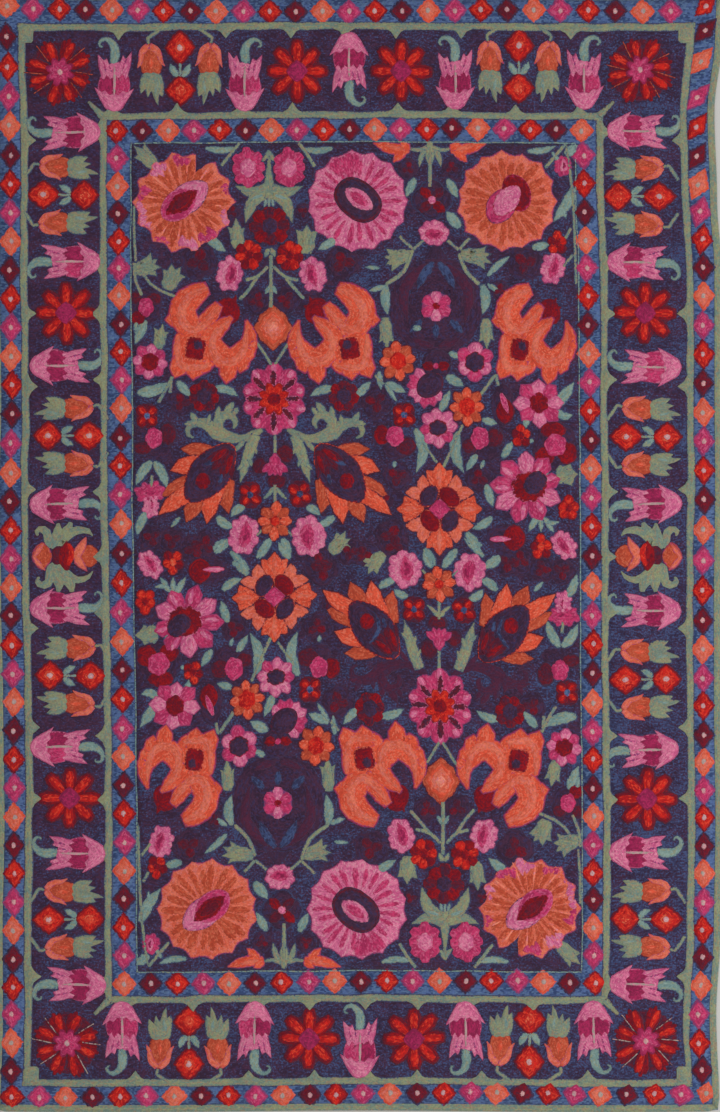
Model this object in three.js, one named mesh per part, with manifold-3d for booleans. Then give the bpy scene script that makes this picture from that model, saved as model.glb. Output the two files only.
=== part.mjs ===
// Chain-stitched crewel floor rug, lying flat and face up, with a bound edge. Millimetres.
// X runs across the rug, Y up its length and Z up. The origin is under the middle of the rug.
import * as THREE from 'three';
import { mergeVertices } from 'three/addons/utils/BufferGeometryUtils.js';
import Module from 'manifold-3d';

const wasm = await Module();
wasm.setup();

// Driving sizes of the whole rug
const rug = {
  width: 1220,
  length: 1881,
  cornerRadius: 11,
  innerCornerRadius: 4,
  outlineStep: 48,
  cornerSteps: 5,
};

// The embroidered ground cloth, with the pressed edge that the binding is folded over
const cloth = {
  thickness: 3.0,
  pressedEdge: 1.0,
  roundedEdge: 0.5,
};

// The strip folded over the edge: how far it covers the face, and its own thickness
const binding = {
  thickness: 3.2,
  cover: 12,
  ply: 0.8,
  fold: 1.6,
  roundedEdge: 0.9,
  clearance: 0.3,
};

// How far the cutting solids reach past the faces that they cut, how far a side's wedge reaches past
// the rug's corners, and how close two corners of a mesh are taken as one
const making = {
  overshoot: 1,
  wedgeReach: 60,
  weld: 1e-4,
};

// How far the handwork has crept to the right at each distance up the rug,
// along its left side, down its middle and along its right side
const creep = [
  { up: 940, left: -6.0, middle: -7.5, right: 6.5 },
  { up: 865, left: -7.5, middle: -7.5, right: 4.0 },
  { up: 742, left: -3.5, middle: -6.5, right: -9.5 },
  { up: 591, left: -2.5, middle: -6.0, right: -5.0 },
  { up: 473, left: -3.0, middle: -5.0, right: 2.5 },
  { up: 255, left: 0.0, middle: -2.5, right: 2.5 },
  { up: 104, left: -3.0, middle: -1.0, right: 3.5 },
  { up: -81, left: -0.5, middle: 1.0, right: 1.0 },
  { up: -249, left: 3.0, middle: 3.5, right: 1.5 },
  { up: -451, left: 5.5, middle: 5.0, right: 4.0 },
  { up: -636, left: 2.0, middle: 6.5, right: 1.0 },
  { up: -778, left: 2.5, middle: 7.5, right: -6.5 },
  { up: -940, left: -2.0, middle: 7.5, right: -1.0 },
];

// The ends bow up and down a little across the width
const bow = { rise: 1.4, waves: 1.5 };

// The sideways creep of one column, eased from row to row
function creepOf(column, up) {
  const last = creep.length - 1;
  if (up >= creep[0].up) return creep[0][column];
  if (up <= creep[last].up) return creep[last][column];
  const row = creep.findIndex((entry) => entry.up < up);
  const above = creep[row - 1];
  const below = creep[row];
  const share = THREE.MathUtils.smoothstep(above.up - up, 0, above.up - below.up);
  return THREE.MathUtils.lerp(above[column], below[column], share);
}

// Where a point of the ideal rectangle lies on the real, slightly uneven rug
function lie(x, y) {
  const left = creepOf('left', y);
  const middle = creepOf('middle', y);
  const right = creepOf('right', y);
  const across = (2 * x) / rug.width;
  const sideways = middle + ((right - left) / 2) * across + ((right + left) / 2 - middle) * across ** 2;
  const lift = bow.rise * Math.cos((2 * Math.PI * bow.waves * x) / rug.width);
  return new THREE.Vector2(x + sideways, y + lift);
}

// The ideal rectangle with rounded corners, drawn in from the rug's edge by an inset
function roundedRectangle(inset) {
  const halfWidth = rug.width / 2 - inset;
  const halfLength = rug.length / 2 - inset;
  const radius = Math.max(rug.cornerRadius - inset, rug.innerCornerRadius);
  const corners = [
    { x: halfWidth - radius, y: halfLength - radius, from: 0 },
    { x: radius - halfWidth, y: halfLength - radius, from: 90 },
    { x: radius - halfWidth, y: radius - halfLength, from: 180 },
    { x: halfWidth - radius, y: radius - halfLength, from: 270 },
  ];
  const points = [];
  corners.forEach((corner, index) => {
    for (let step = 0; step <= rug.cornerSteps; step += 1) {
      const angle = THREE.MathUtils.degToRad(corner.from + (90 * step) / rug.cornerSteps);
      const x = corner.x + radius * Math.cos(angle);
      const y = corner.y + radius * Math.sin(angle);
      points.push(new THREE.Vector2(x, y));
    }
    const next = corners[(index + 1) % corners.length];
    const start = points[points.length - 1];
    const turn = THREE.MathUtils.degToRad(next.from);
    const end = new THREE.Vector2(next.x + radius * Math.cos(turn), next.y + radius * Math.sin(turn));
    const pieces = Math.round(start.distanceTo(end) / rug.outlineStep);
    for (let piece = 1; piece < pieces; piece += 1) {
      points.push(start.clone().lerp(end, piece / pieces));
    }
  });
  return points;
}

// The middle of the real outline, so that the rug is centred over the origin
const outlineBox = new THREE.Box2().setFromPoints(roundedRectangle(0).map((point) => lie(point.x, point.y)));
const centre = outlineBox.getCenter(new THREE.Vector2());

function outline(inset) {
  return roundedRectangle(inset).map((point) => lie(point.x, point.y).sub(centre));
}

// A flat slab on a closed outline, with its rims rounded when an edge size is given
function slab(points, bottom, top, edge = 0) {
  const geometry = new THREE.ExtrudeGeometry(new THREE.Shape(points), {
    depth: top - bottom - 2 * edge,
    steps: 1,
    bevelEnabled: edge > 0,
    bevelThickness: edge,
    bevelSize: edge,
    bevelOffset: -edge,
    bevelSegments: 2,
  });
  geometry.translate(0, 0, bottom + edge);
  geometry.deleteAttribute('normal');
  geometry.deleteAttribute('uv');
  const welded = mergeVertices(geometry, making.weld);
  const mesh = new wasm.Mesh({
    numProp: 3,
    vertProperties: new Float32Array(welded.getAttribute('position').array),
    triVerts: new Uint32Array(welded.getIndex().array),
  });
  return new wasm.Manifold(mesh);
}

// A named piece from its finished solid
function piece(name, solid, material) {
  const { vertProperties, triVerts } = solid.getMesh();
  const geometry = new THREE.BufferGeometry();
  geometry.setAttribute('position', new THREE.BufferAttribute(vertProperties, 3));
  geometry.setIndex(new THREE.BufferAttribute(triVerts, 1));
  geometry.computeVertexNormals();
  const mesh = new THREE.Mesh(geometry, material);
  mesh.name = name;
  return mesh;
}

// The ground cloth is full thickness inside the binding and pressed thin where the binding holds it
function groundCloth() {
  const face = outline(binding.cover + binding.clearance);
  const held = outline(binding.fold + binding.clearance);
  const middle = binding.thickness / 2;
  const halfPressed = cloth.pressedEdge / 2;
  const body = slab(face, 0, cloth.thickness, cloth.roundedEdge);
  const tongue = slab(held, middle - halfPressed, middle + halfPressed);
  return body.add(tongue);
}

// A slab on a closed outline that passes right through the thickness of the rug
function throughSlab(points) {
  return slab(points, -making.overshoot, binding.thickness + making.overshoot);
}

// The binding's section is a channel: a fold at the rug's edge, and one ply over and one under the cloth
function bindingRing() {
  const outside = slab(outline(0), 0, binding.thickness, binding.roundedEdge);
  const window = throughSlab(outline(binding.cover));
  const channel = slab(outline(binding.fold), binding.ply, binding.thickness - binding.ply);
  return outside.subtract(window).subtract(channel);
}

// Each side's share of the ring lies between the two mitres at its ends
function mitredStrip(ring, side) {
  const reach = making.wedgeReach;
  const halfGap = binding.clearance / 2;
  const ends = side.ends.map(([signX, signY]) => {
    const corner = lie((signX * rug.width) / 2, (signY * rug.length) / 2).sub(centre);
    const back = new THREE.Vector2(side.along[0], side.along[1]);
    back.multiplyScalar(-Math.SQRT2 * halfGap * (side.along[0] ? signX : signY));
    const outer = corner.clone().add(back).add(new THREE.Vector2(signX * reach, signY * reach));
    const inner = corner.clone().add(back).sub(new THREE.Vector2(signX * reach, signY * reach));
    return { outer, inner };
  });
  const wedge = [ends[0].outer, ends[1].outer, ends[1].inner, ends[0].inner];
  return ring.intersect(throughSlab(wedge));
}

// Each side's two corners in anticlockwise order, and the direction it runs in
const sides = [
  { name: 'binding_left', along: [0, 1], ends: [[-1, 1], [-1, -1]] },
  { name: 'binding_right', along: [0, 1], ends: [[1, -1], [1, 1]] },
  { name: 'binding_top', along: [1, 0], ends: [[1, 1], [-1, 1]] },
  { name: 'binding_bottom', along: [1, 0], ends: [[-1, -1], [1, -1]] },
];

const woolGround = new THREE.MeshStandardMaterial({
  name: 'wool_ground',
  color: 0x40304a,
  roughness: 0.92,
  metalness: 0,
});
const sageBinding = new THREE.MeshStandardMaterial({
  name: 'sage_binding',
  color: 0x8b967a,
  roughness: 0.9,
  metalness: 0,
});

const crewelRug = new THREE.Group();
crewelRug.add(piece('ground_cloth', groundCloth(), woolGround));
const ring = bindingRing();
for (const side of sides) {
  crewelRug.add(piece(side.name, mitredStrip(ring, side), sageBinding));
}

export default crewelRug;
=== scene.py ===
import math
import random

import bmesh
import bpy
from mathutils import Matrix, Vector, noise


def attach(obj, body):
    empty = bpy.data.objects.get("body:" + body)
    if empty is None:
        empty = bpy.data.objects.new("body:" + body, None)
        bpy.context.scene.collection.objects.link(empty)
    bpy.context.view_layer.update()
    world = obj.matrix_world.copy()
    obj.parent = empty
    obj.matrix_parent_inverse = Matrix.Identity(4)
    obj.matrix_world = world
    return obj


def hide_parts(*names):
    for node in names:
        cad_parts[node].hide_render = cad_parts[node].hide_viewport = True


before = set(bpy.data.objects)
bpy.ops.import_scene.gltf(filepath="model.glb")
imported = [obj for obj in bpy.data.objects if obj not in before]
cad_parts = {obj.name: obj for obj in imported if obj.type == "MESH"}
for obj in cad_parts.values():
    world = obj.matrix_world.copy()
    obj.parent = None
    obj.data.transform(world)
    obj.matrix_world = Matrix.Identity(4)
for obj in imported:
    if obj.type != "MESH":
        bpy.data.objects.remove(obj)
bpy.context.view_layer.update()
noise.seed_set(1)  # so that the stitches sway alike in every run

# Chain-stitched crewel floor rug, lying flat and face up. Metres, X across, Y up its length, Z up.
# Places are counted in squares of the working chart, across from its left and down from its top,
# and a motif's own shape is drawn in the same squares, to the right and up from its middle.

rug = {
    "width": 1.220,
    "length": 1.881,
    "cornerRadius": 0.011,
    "centred": (-0.00047, -0.00001),  # middle of the leaning outline, taken off every place
    "face": 0.0030,  # top of the worked ground
    "pucker": 0.00020,  # how unevenly the face lies
    "puckerSize": 0.12,
    "puckerSlice": 0.3,  # the slice of the noise that it is taken from
    "layer": 0.00026,  # how much higher each next layer of stitches lies
    "sink": 0.0004,  # how far a patch goes down into the ground
    "rise": 0.00030,  # how much higher a patch is in its middle
    "turned": 0.0005,  # how wide its turned-down rim is
    "sway": 0.0007,  # how far the handwork strays from its chart
    "swaySize": 0.0055,
    "swaySlice": 0.7,
    "finerSway": (0.5, 3.1),  # a second sway in it: its share, and how much finer it is
    "spread": 0.5,  # how far a patch spreads past its chart, in chart squares
    "softRim": 0.0027,  # how far in the dye beneath still shows between its stitches
    "deepest": 0.02,  # the farthest from its rim that is kept with a patch
}
chart = {"square": 0.0016804, "middle": (357.2, 551.75), "fieldMiddle": (357.0, 555.0)}

# How far the handwork has crept to the right at each distance up the rug, in millimetres,
# along its left side, down its middle and along its right side
creep = [
    (940, -6.0, -7.5, 6.5), (865, -7.5, -7.5, 4.0), (742, -3.5, -6.5, -9.5), (591, -2.5, -6.0, -5.0),
    (473, -3.0, -5.0, 2.5), (255, 0.0, -2.5, 2.5), (104, -3.0, -1.0, 3.5), (-81, -0.5, 1.0, 1.0),
    (-249, 3.0, 3.5, 1.5), (-451, 5.5, 5.0, 4.0), (-636, 2.0, 6.5, 1.0), (-778, 2.5, 7.5, -6.5),
    (-940, -2.0, 7.5, -1.0),
]
bow = {"rise": 0.0014, "waves": 1.5}  # the ends bow up and down a little
# The flowers of the lower half lie a little nearer the middle of the rug: how many squares at most, round
# which place of the chart, and how far that reaches
drawnIn = {"most": 8.0, "middle": (345, 460), "reach": (150, 110)}


def creepOf(column, up):
    if up >= creep[0][0]:
        return creep[0][column]
    for above, below in zip(creep, creep[1:]):
        if up > below[0]:
            share = (above[0] - up) / (above[0] - below[0])
            share = share * share * (3 - 2 * share)
            return above[column] + (below[column] - above[column]) * share
    return creep[-1][column]


def lie(x, y):  # from the ideal rectangle to the slightly leaning rug
    left, middle, right = (creepOf(column, 1000 * y) for column in (1, 2, 3))
    across = 2 * x / rug["width"]
    sideways = middle + (right - left) / 2 * across + ((right + left) / 2 - middle) * across ** 2
    lift = bow["rise"] * math.cos(2 * math.pi * bow["waves"] * x / rug["width"])
    return x + sideways / 1000 - rug["centred"][0], y + lift - rug["centred"][1]


def onChart(across, down):  # a place taken as it lies on the rug
    x = (across - chart["middle"][0]) * chart["square"] - rug["centred"][0]
    y = (chart["middle"][1] - down) * chart["square"] - rug["centred"][1]
    return x, y


def onFrame(across, down):  # a place in the straight layout, which leans with the rug
    x = (across - chart["middle"][0]) * chart["square"]
    y = (chart["middle"][1] - down) * chart["square"]
    return lie(x, y)


def puckered(x, y, height):
    lift = rug["pucker"] * noise.noise(Vector((x, y, rug["puckerSlice"])) / rug["puckerSize"])
    return Vector((x, y, height + lift))


def lowerHalf(across, down):  # where a place of the field's upper half comes when the chart is turned
    (middle, middleDown), (reach, reachDown) = drawnIn["middle"], drawnIn["reach"]
    off, offDown = (across - middle) / reach, (down - middleDown) / reachDown
    down += drawnIn["most"] * math.exp(-off ** 2 - offDown ** 2)
    return 2 * chart["fieldMiddle"][0] - across, 2 * chart["fieldMiddle"][1] - down


def onField(half, mirrored=None, shift=(0, 0)):  # places across and down the chart itself
    def where(across, down):
        across, down = across + shift[0], down + shift[1]
        if mirrored is not None:
            across = 2 * mirrored - across
        return onChart(*lowerHalf(across, down)) if half else onChart(across, down)
    return where


# Places right and up from a middle, which may be turned, mirrored, smaller or in the lower half
def placed(across, down, turn=0, mirror=False, size=1.0, half=0, way=onChart):
    cosTurn, sinTurn = math.cos(math.radians(turn)), math.sin(math.radians(turn))

    def where(right, up):
        right = -right if mirror else right
        a = across + size * (right * cosTurn - up * sinTurn)
        d = down - size * (right * sinTurn + up * cosTurn)
        return way(*lowerHalf(a, d)) if half else way(a, d)
    return where


# Wool yarns: the light and the dark tone of each dye, and the flecks that show between its stitches
yarns = {
    "denim": ((82, 104, 150), (50, 66, 106), (92, 116, 150)),
    "dusk": ((68, 54, 84), (52, 42, 66), (60, 54, 88)),
    "plum": ((72, 42, 66), (54, 34, 56), (60, 50, 86)),
    "navy": ((60, 74, 114), (48, 46, 76), (70, 84, 122)),
    "vaseRed": ((84, 36, 60), (72, 34, 58), (64, 44, 72)),
    "sage": ((142, 146, 112), (112, 132, 122), (150, 128, 104)),
    "greySage": ((132, 154, 146), (108, 136, 134), (144, 144, 116)),
    "paleRed": ((216, 70, 48), (190, 36, 32), (222, 110, 80)),
    "red": ((204, 36, 28), (158, 20, 26), (220, 66, 44)),
    "darkRed": ((146, 16, 26), (112, 14, 30), (90, 22, 44)),
    "wine": ((120, 18, 36), (92, 20, 38), (84, 34, 56)),
    "maroon": ((104, 24, 40), (78, 26, 46), (66, 40, 64)),
    "magenta": ((198, 56, 104), (162, 42, 86), (200, 88, 126)),
    "cerise": ((170, 40, 88), (138, 28, 72), (120, 34, 66)),
    "mauve": ((168, 58, 104), (134, 50, 98), (120, 60, 110)),
    "pink": ((216, 116, 150), (192, 84, 128), (214, 140, 160)),
    "ash": ((184, 160, 152), (160, 150, 140), (190, 140, 150)),
    "paleThread": ((214, 160, 158), (190, 138, 146), (176, 160, 160)),
    "coral": ((222, 114, 90), (206, 88, 66), (212, 112, 104)),
    "orange": ((224, 88, 62), (202, 72, 50), (224, 116, 92)),
    "rust": ((192, 80, 54), (170, 64, 44), (200, 100, 74)),
    "peach": ((232, 140, 116), (222, 112, 94), (222, 130, 140)),
}
stitch = {
    "pitch": 0.0024,  # from one row of chain to the next
    "length": 0.0042,  # of one link
    "chevron": 0.34,  # how far a link's legs trail behind its middle
    "twist": (2.356, 0.785),  # a row's rise from its middle to its side, in radians
    "dip": (6.0, -0.5),  # how sudden and how deep the dip at a link's end is
    "bump": {"Strength": 0.6, "Distance": 0.0007},
    "paintedGrooveShade": 0.80,  # how light the painted shade leaves the gap between two rows
    "patches": (38.0, 3.0),  # patches of tone: scale and detail
    "grain": 330.0,  # speckles of dye in a metre
    "speckle": (0.9, 0.6),  # how strong they are, and how light the darkest is
    "varies": {"patch": 3.2, "link": 1.3, "row": 0.5},  # how strongly each goes from dark to light
    "flecks": (0.76, 0.7),  # which draws of a link bring a fleck, and how much of it shows
    # dye beneath: how uneven, how much at the rim, and how fast it fades inwards
    "through": (4.0, 0.62, 1.1),
    "surface": {"Roughness": 0.95, "Specular IOR Level": 0.15, "Sheen Weight": 0.10, "Sheen Roughness": 0.5},
}


def linear(channel):
    channel /= 255
    return channel / 12.92 if channel <= 0.04045 else ((channel + 0.055) / 1.055) ** 2.4


def dye(tone):
    return (linear(tone[0]), linear(tone[1]), linear(tone[2]), 1.0)


def nodeOf(tree, kind, inputs=None, **settings):  # a new node, with its settings and what goes into it
    node = tree.nodes.new("ShaderNode" + kind)
    for name, value in settings.items():
        setattr(node, name, value)
    for socket, value in (inputs or {}).items():
        if isinstance(value, bpy.types.NodeSocket):
            tree.links.new(value, node.inputs[socket])
        elif value is not None:
            node.inputs[socket].default_value = value
    return node


def math2(tree, operation, first, second=0.0, third=None, clamp=False):
    inputs = {0: first, 1: second, 2: third}
    return nodeOf(tree, "Math", inputs, operation=operation, use_clamp=clamp).outputs[0]


def mixed(tree, share, first, second):
    return nodeOf(tree, "Mix", {0: share, 6: first, 7: second}, data_type="RGBA").outputs[2]


def noiseOf(tree, vector, scale, detail):
    return nodeOf(tree, "TexNoise", {"Vector": vector, "Scale": scale, "Detail": detail})


def varied(tree, dice, strength, base, clamp=False):  # base, more or less by a noise or a draw from 0 to 1
    return math2(tree, "MULTIPLY_ADD", math2(tree, "SUBTRACT", dice, 0.5), strength, base, clamp)


def chainStitchGroup():  # rows of chain links: Rows runs along a row in X and across the rows in Y
    tree = bpy.data.node_groups.new("chainStitch", "ShaderNodeTree")
    for name, kind in (("Rows", "Vector"), ("Light", "Color"), ("Dark", "Color"), ("Fleck", "Color")):
        tree.interface.new_socket(name, in_out="INPUT", socket_type="NodeSocket" + kind)
    tree.interface.new_socket("Color", in_out="OUTPUT", socket_type="NodeSocketColor")
    tree.interface.new_socket("Height", in_out="OUTPUT", socket_type="NodeSocketFloat")
    entry, result = tree.nodes.new("NodeGroupInput"), tree.nodes.new("NodeGroupOutput")
    split = nodeOf(tree, "SeparateXYZ", {0: entry.outputs["Rows"]})
    rows = math2(tree, "DIVIDE", split.outputs[1], stitch["pitch"])
    row = math2(tree, "FLOOR", rows)
    off = math2(tree, "ABSOLUTE", math2(tree, "SUBTRACT", math2(tree, "FRACT", rows), 0.5))
    off = math2(tree, "MULTIPLY", off, 2.0)  # from 0 in the middle of the row to 1 at its sides
    rowDice = nodeOf(tree, "TexWhiteNoise", {"W": row}, noise_dimensions="1D")
    links = math2(tree, "ADD", math2(tree, "DIVIDE", split.outputs[0], stitch["length"]),
        rowDice.outputs["Value"])
    links = math2(tree, "ADD", links, math2(tree, "MULTIPLY", off, stitch["chevron"]))
    link, along = math2(tree, "FLOOR", links), math2(tree, "FRACT", links)
    linkPlace = nodeOf(tree, "CombineXYZ", {0: row, 1: link})
    linkDice = nodeOf(tree, "TexWhiteNoise", {"Vector": linkPlace.outputs[0]}, noise_dimensions="2D")
    across = math2(tree, "SINE", math2(tree, "MULTIPLY_ADD", off, *stitch["twist"]))
    sudden, deep = stitch["dip"]
    end = math2(tree, "ABSOLUTE", math2(tree, "MULTIPLY_ADD", along, 2.0, -1.0))  # 1 at both ends of a link
    end = math2(tree, "POWER", end, sudden)
    height = math2(tree, "MULTIPLY", across, math2(tree, "MULTIPLY_ADD", end, deep, 1.0))
    tree.links.new(height, result.inputs["Height"])
    place = tree.nodes.new("ShaderNodeTexCoord").outputs["Object"]
    patchy = noiseOf(tree, place, *stitch["patches"])
    fuzzy = noiseOf(tree, place, stitch["grain"], 2.0)
    varies = stitch["varies"]
    tone = varied(tree, patchy.outputs[0], varies["patch"], 0.5)
    tone = varied(tree, linkDice.outputs["Value"], varies["link"], tone)
    tone = varied(tree, rowDice.outputs["Value"], varies["row"], tone, clamp=True)
    wool = mixed(tree, tone, entry.outputs["Dark"], entry.outputs["Light"])
    above, shows = stitch["flecks"]
    fleckDice = nodeOf(tree, "SeparateColor", {0: linkDice.outputs["Color"]})
    flecks = math2(tree, "MULTIPLY", math2(tree, "GREATER_THAN", fleckDice.outputs[1], above), shows)
    wool = mixed(tree, flecks, wool, entry.outputs["Fleck"])
    # painted shade: the wool is darker in the gaps between rows and at the ends of links, where the stitches
    # dip, and is then speckled
    grooveShadeAndSpeckle = math2(tree, "MULTIPLY_ADD", height, 1.0 - stitch["paintedGrooveShade"], stitch["paintedGrooveShade"])
    grooveShadeAndSpeckle = math2(tree, "MULTIPLY", grooveShadeAndSpeckle, math2(tree, "MULTIPLY_ADD", fuzzy.outputs[0], *stitch["speckle"]))
    shaded = nodeOf(tree, "VectorMath", {0: wool, "Scale": grooveShadeAndSpeckle}, operation="SCALE")
    tree.links.new(shaded.outputs[0], result.inputs["Color"])
    return tree


chainStitch = chainStitchGroup()


def newWool(name):
    material = bpy.data.materials.new(name + "Wool")
    material.use_nodes = True
    tree = material.node_tree
    return material, tree, tree.nodes.new("ShaderNodeTexCoord").outputs["Object"]


def woolMaterial(name):  # one dye, worked in rows that follow each patch
    material, tree, place = newWool(name)
    rows = nodeOf(tree, "UVMap", uv_map="stitchRows")
    beneath = nodeOf(tree, "Attribute", attribute_name="beneath")
    between = noiseOf(tree, place, stitch["grain"], 1.0)
    uneven, most, fading = stitch["through"]
    inwards = math2(tree, "SUBTRACT", 1.0, beneath.outputs["Alpha"])
    depth = math2(tree, "MULTIPLY", inwards, rug["deepest"] / rug["softRim"])
    shown = varied(tree, between.outputs[0], uneven, most)
    shown = math2(tree, "SUBTRACT", shown, math2(tree, "MULTIPLY", depth, fading), clamp=True)
    worked = [mixed(tree, shown, dye(tone), beneath.outputs["Color"]) for tone in yarns[name]]
    return joinWool(material, rows.outputs[0], *worked)


def joinWool(material, rows, light, dark, fleck):
    tree = material.node_tree
    inputs = {"Rows": rows, "Light": light, "Dark": dark, "Fleck": fleck}
    stitches = nodeOf(tree, "Group", inputs, node_tree=chainStitch)
    bump = nodeOf(tree, "Bump", {**stitch["bump"], "Height": stitches.outputs["Height"]})
    shader = tree.nodes["Principled BSDF"]
    tree.links.new(bump.outputs[0], shader.inputs["Normal"])
    tree.links.new(stitches.outputs["Color"], shader.inputs["Base Color"])
    for socket, value in stitch["surface"].items():
        shader.inputs[socket].default_value = value
    return material


# The worked ground: two dyes that run into each other, in rows that wander a little
# Each ground's lean is a painted sheen: how much more of the far dye there is for each metre to the right and
# up
grounds = {
    "guardGround": {"near": "denim", "far": "denim", "patch": 9.0, "share": 0.5, "contrast": 9.0,
                    "wander": 0.040, "sheenLean": (0.0, 0.0)},
    "borderGround": {"near": "plum", "far": "navy", "patch": 13.0, "share": 0.39, "contrast": 3.4,
                     "wander": 0.064, "sheenLean": (0.16, -0.05)},
    "fieldGround": {"near": "plum", "far": "navy", "patch": 17.0, "share": 0.42, "contrast": 4.4,
                    "wander": 0.088, "sheenLean": (0.03, 0.0)},
}
groundNoise = {"drift": (7.0, 1.0), "patchDetail": 4.0, "ragged": 5.0}  # ragged: how the two dyes' border is


def groundMaterial(name):
    made = grounds[name]
    material, tree, place = newWool(name)
    drift = noiseOf(tree, place, *groundNoise["drift"])
    centred = nodeOf(tree, "VectorMath", {0: drift.outputs["Color"], 1: (0.5,) * 3}, operation="SUBTRACT")
    inputs = {0: centred.outputs[0], 1: (made["wander"],) * 3, 2: place}
    wander = nodeOf(tree, "VectorMath", inputs, operation="MULTIPLY_ADD")
    patches = noiseOf(tree, place, made["patch"], groundNoise["patchDetail"])
    grain = noiseOf(tree, place, stitch["grain"], 1.0)
    split = nodeOf(tree, "SeparateXYZ", {0: place})  # painted sheen: more of the second, bluer and lighter dye towards one side and end, where the light falls brighter
    sheenAcross, sheenAlong = made["sheenLean"]
    paintedSheen = math2(tree, "MULTIPLY", split.outputs[1], sheenAlong)
    paintedSheen = math2(tree, "MULTIPLY_ADD", split.outputs[0], sheenAcross, paintedSheen)
    mostly = math2(tree, "ADD", math2(tree, "SUBTRACT", patches.outputs[0], 1.0 - made["share"]), paintedSheen)
    share = math2(tree, "MULTIPLY_ADD", mostly, made["contrast"], 0.5)
    share = varied(tree, grain.outputs[0], groundNoise["ragged"], share, clamp=True)
    near, far = yarns[made["near"]], yarns[made["far"]]
    tones = [mixed(tree, share, dye(nearTone), dye(farTone)) for nearTone, farTone in zip(near, far)]
    return joinWool(material, wander.outputs[0], *tones)


madeWool = {}


def wool(name):
    if name not in madeWool:
        madeWool[name] = groundMaterial(name) if name in grounds else woolMaterial(name)
    return madeWool[name]


def newWork(name):
    work = {"name": name, "yarns": [], "dice": random.Random(name), "trays": [], "laid": {}}
    freshTray(work)
    return work


def freshTray(work):  # patches are made a trayful at a time, because operators slow down on a big mesh
    work["mesh"] = bmesh.new()
    work["rows"] = work["mesh"].loops.layers.uv.new("stitchRows")
    work["beneath"] = work["mesh"].loops.layers.float_color.new("beneath")


def emptyTray(work):
    data = bpy.data.meshes.new("tray")
    work["mesh"].to_mesh(data)
    work["mesh"].free()
    work["trays"].append(data)


def yarnIndex(work, yarn):
    if yarn not in work["yarns"]:
        work["yarns"].append(yarn)
    return work["yarns"].index(yarn)


def inScene(name, data):
    made = bpy.data.objects.new(name, data)
    bpy.context.scene.collection.objects.link(made)
    return made


def finishWork(work):
    emptyTray(work)
    mesh = bmesh.new()
    for data in work["trays"]:
        mesh.from_mesh(data)
        bpy.data.meshes.remove(data)
    bmesh.ops.recalc_face_normals(mesh, faces=mesh.faces)
    data = bpy.data.meshes.new(work["name"])
    mesh.to_mesh(data)
    mesh.free()
    for yarn in work["yarns"]:
        data.materials.append(wool(yarn))
    piece = inScene(work["name"], data)
    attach(piece, "root")
    work["piece"] = piece
    print(work["name"], len(data.polygons), "faces")
    return piece


def about(work, amount):  # a little more or less than the chart says
    return work["dice"].uniform(-amount, amount)


# How the shapes are made, with lengths in chart squares
making = {
    "tray": 2500,  # points that fill a tray
    "runs": (4000, 4),  # how many rows and links a patch's own may start from
    "near": 0.01,  # how near a point of the ball counts as being on its middle or its rim
    "lineSteps": 6,  # eased steps from one point of a spine to the next
    "ease": 0.36,  # how full an eased outline is
    "bandSides": 8,
    "bandWidth": (0.92, 0.2),  # a band's half-width is this share of the chart's, and so much more
    "bandSlope": 0.25,  # how much lower a band is at its sides
    "edgeLeast": 0.3,  # the least half-width that an edge goes round
    "edgeEnds": 0.4,  # the share of an edge's margin that is left at its ends
    "rimMost": 0.6,  # the most of a shape that its turned-down rim takes
    "rowInset": 0.2,  # how far in the outermost rows lie, in rows
    "rowStart": 0.4,  # how far in the first row round a patch lies, in rows
    "easedSpread": 0.7,  # how far an eased outline is spread again, because easing draws it in
    "rowArc": 0.75,  # how long the rows round a patch are, as a share of its outline
    "slope": 0.2,  # how much lower a patch is at its rim
}
seeds = {}


def seed(work, around, rings):  # a closed ball to be shaped into the next patch
    if len(work["mesh"].verts) > making["tray"]:
        emptyTray(work)
        freshTray(work)
    if (around, rings) not in seeds:
        ball = bmesh.new()
        ball.loops.layers.uv.new("stitchRows")
        ball.loops.layers.float_color.new("beneath")
        bmesh.ops.create_uvsphere(ball, u_segments=around, v_segments=rings, radius=1.0)
        seeds[around, rings] = bpy.data.meshes.new("seed")
        ball.to_mesh(seeds[around, rings])
        ball.free()
    mesh = work["mesh"]
    vertsBefore, facesBefore = len(mesh.verts), len(mesh.faces)
    mesh.from_mesh(seeds[around, rings])
    mesh.verts.ensure_lookup_table()
    mesh.faces.ensure_lookup_table()
    return mesh.verts[vertsBefore:], mesh.faces[facesBefore:]


def handWorked(place, height):  # a point of a patch, a little off its chart as hand stitches are
    chartPlace = Vector((*place, rug["swaySlice"])) / rug["swaySize"]
    share, finer = rug["finerSway"]
    sway = rug["sway"] * (noise.noise_vector(chartPlace) + share * noise.noise_vector(chartPlace * finer))
    return puckered(place[0] + sway.x, place[1] + sway.y, height)


def clothRow(work):  # a fresh run of rows, so that no two patches have the same stitches
    rows, links = making["runs"]
    return work["dice"].randrange(rows), work["dice"].random() * links


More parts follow.
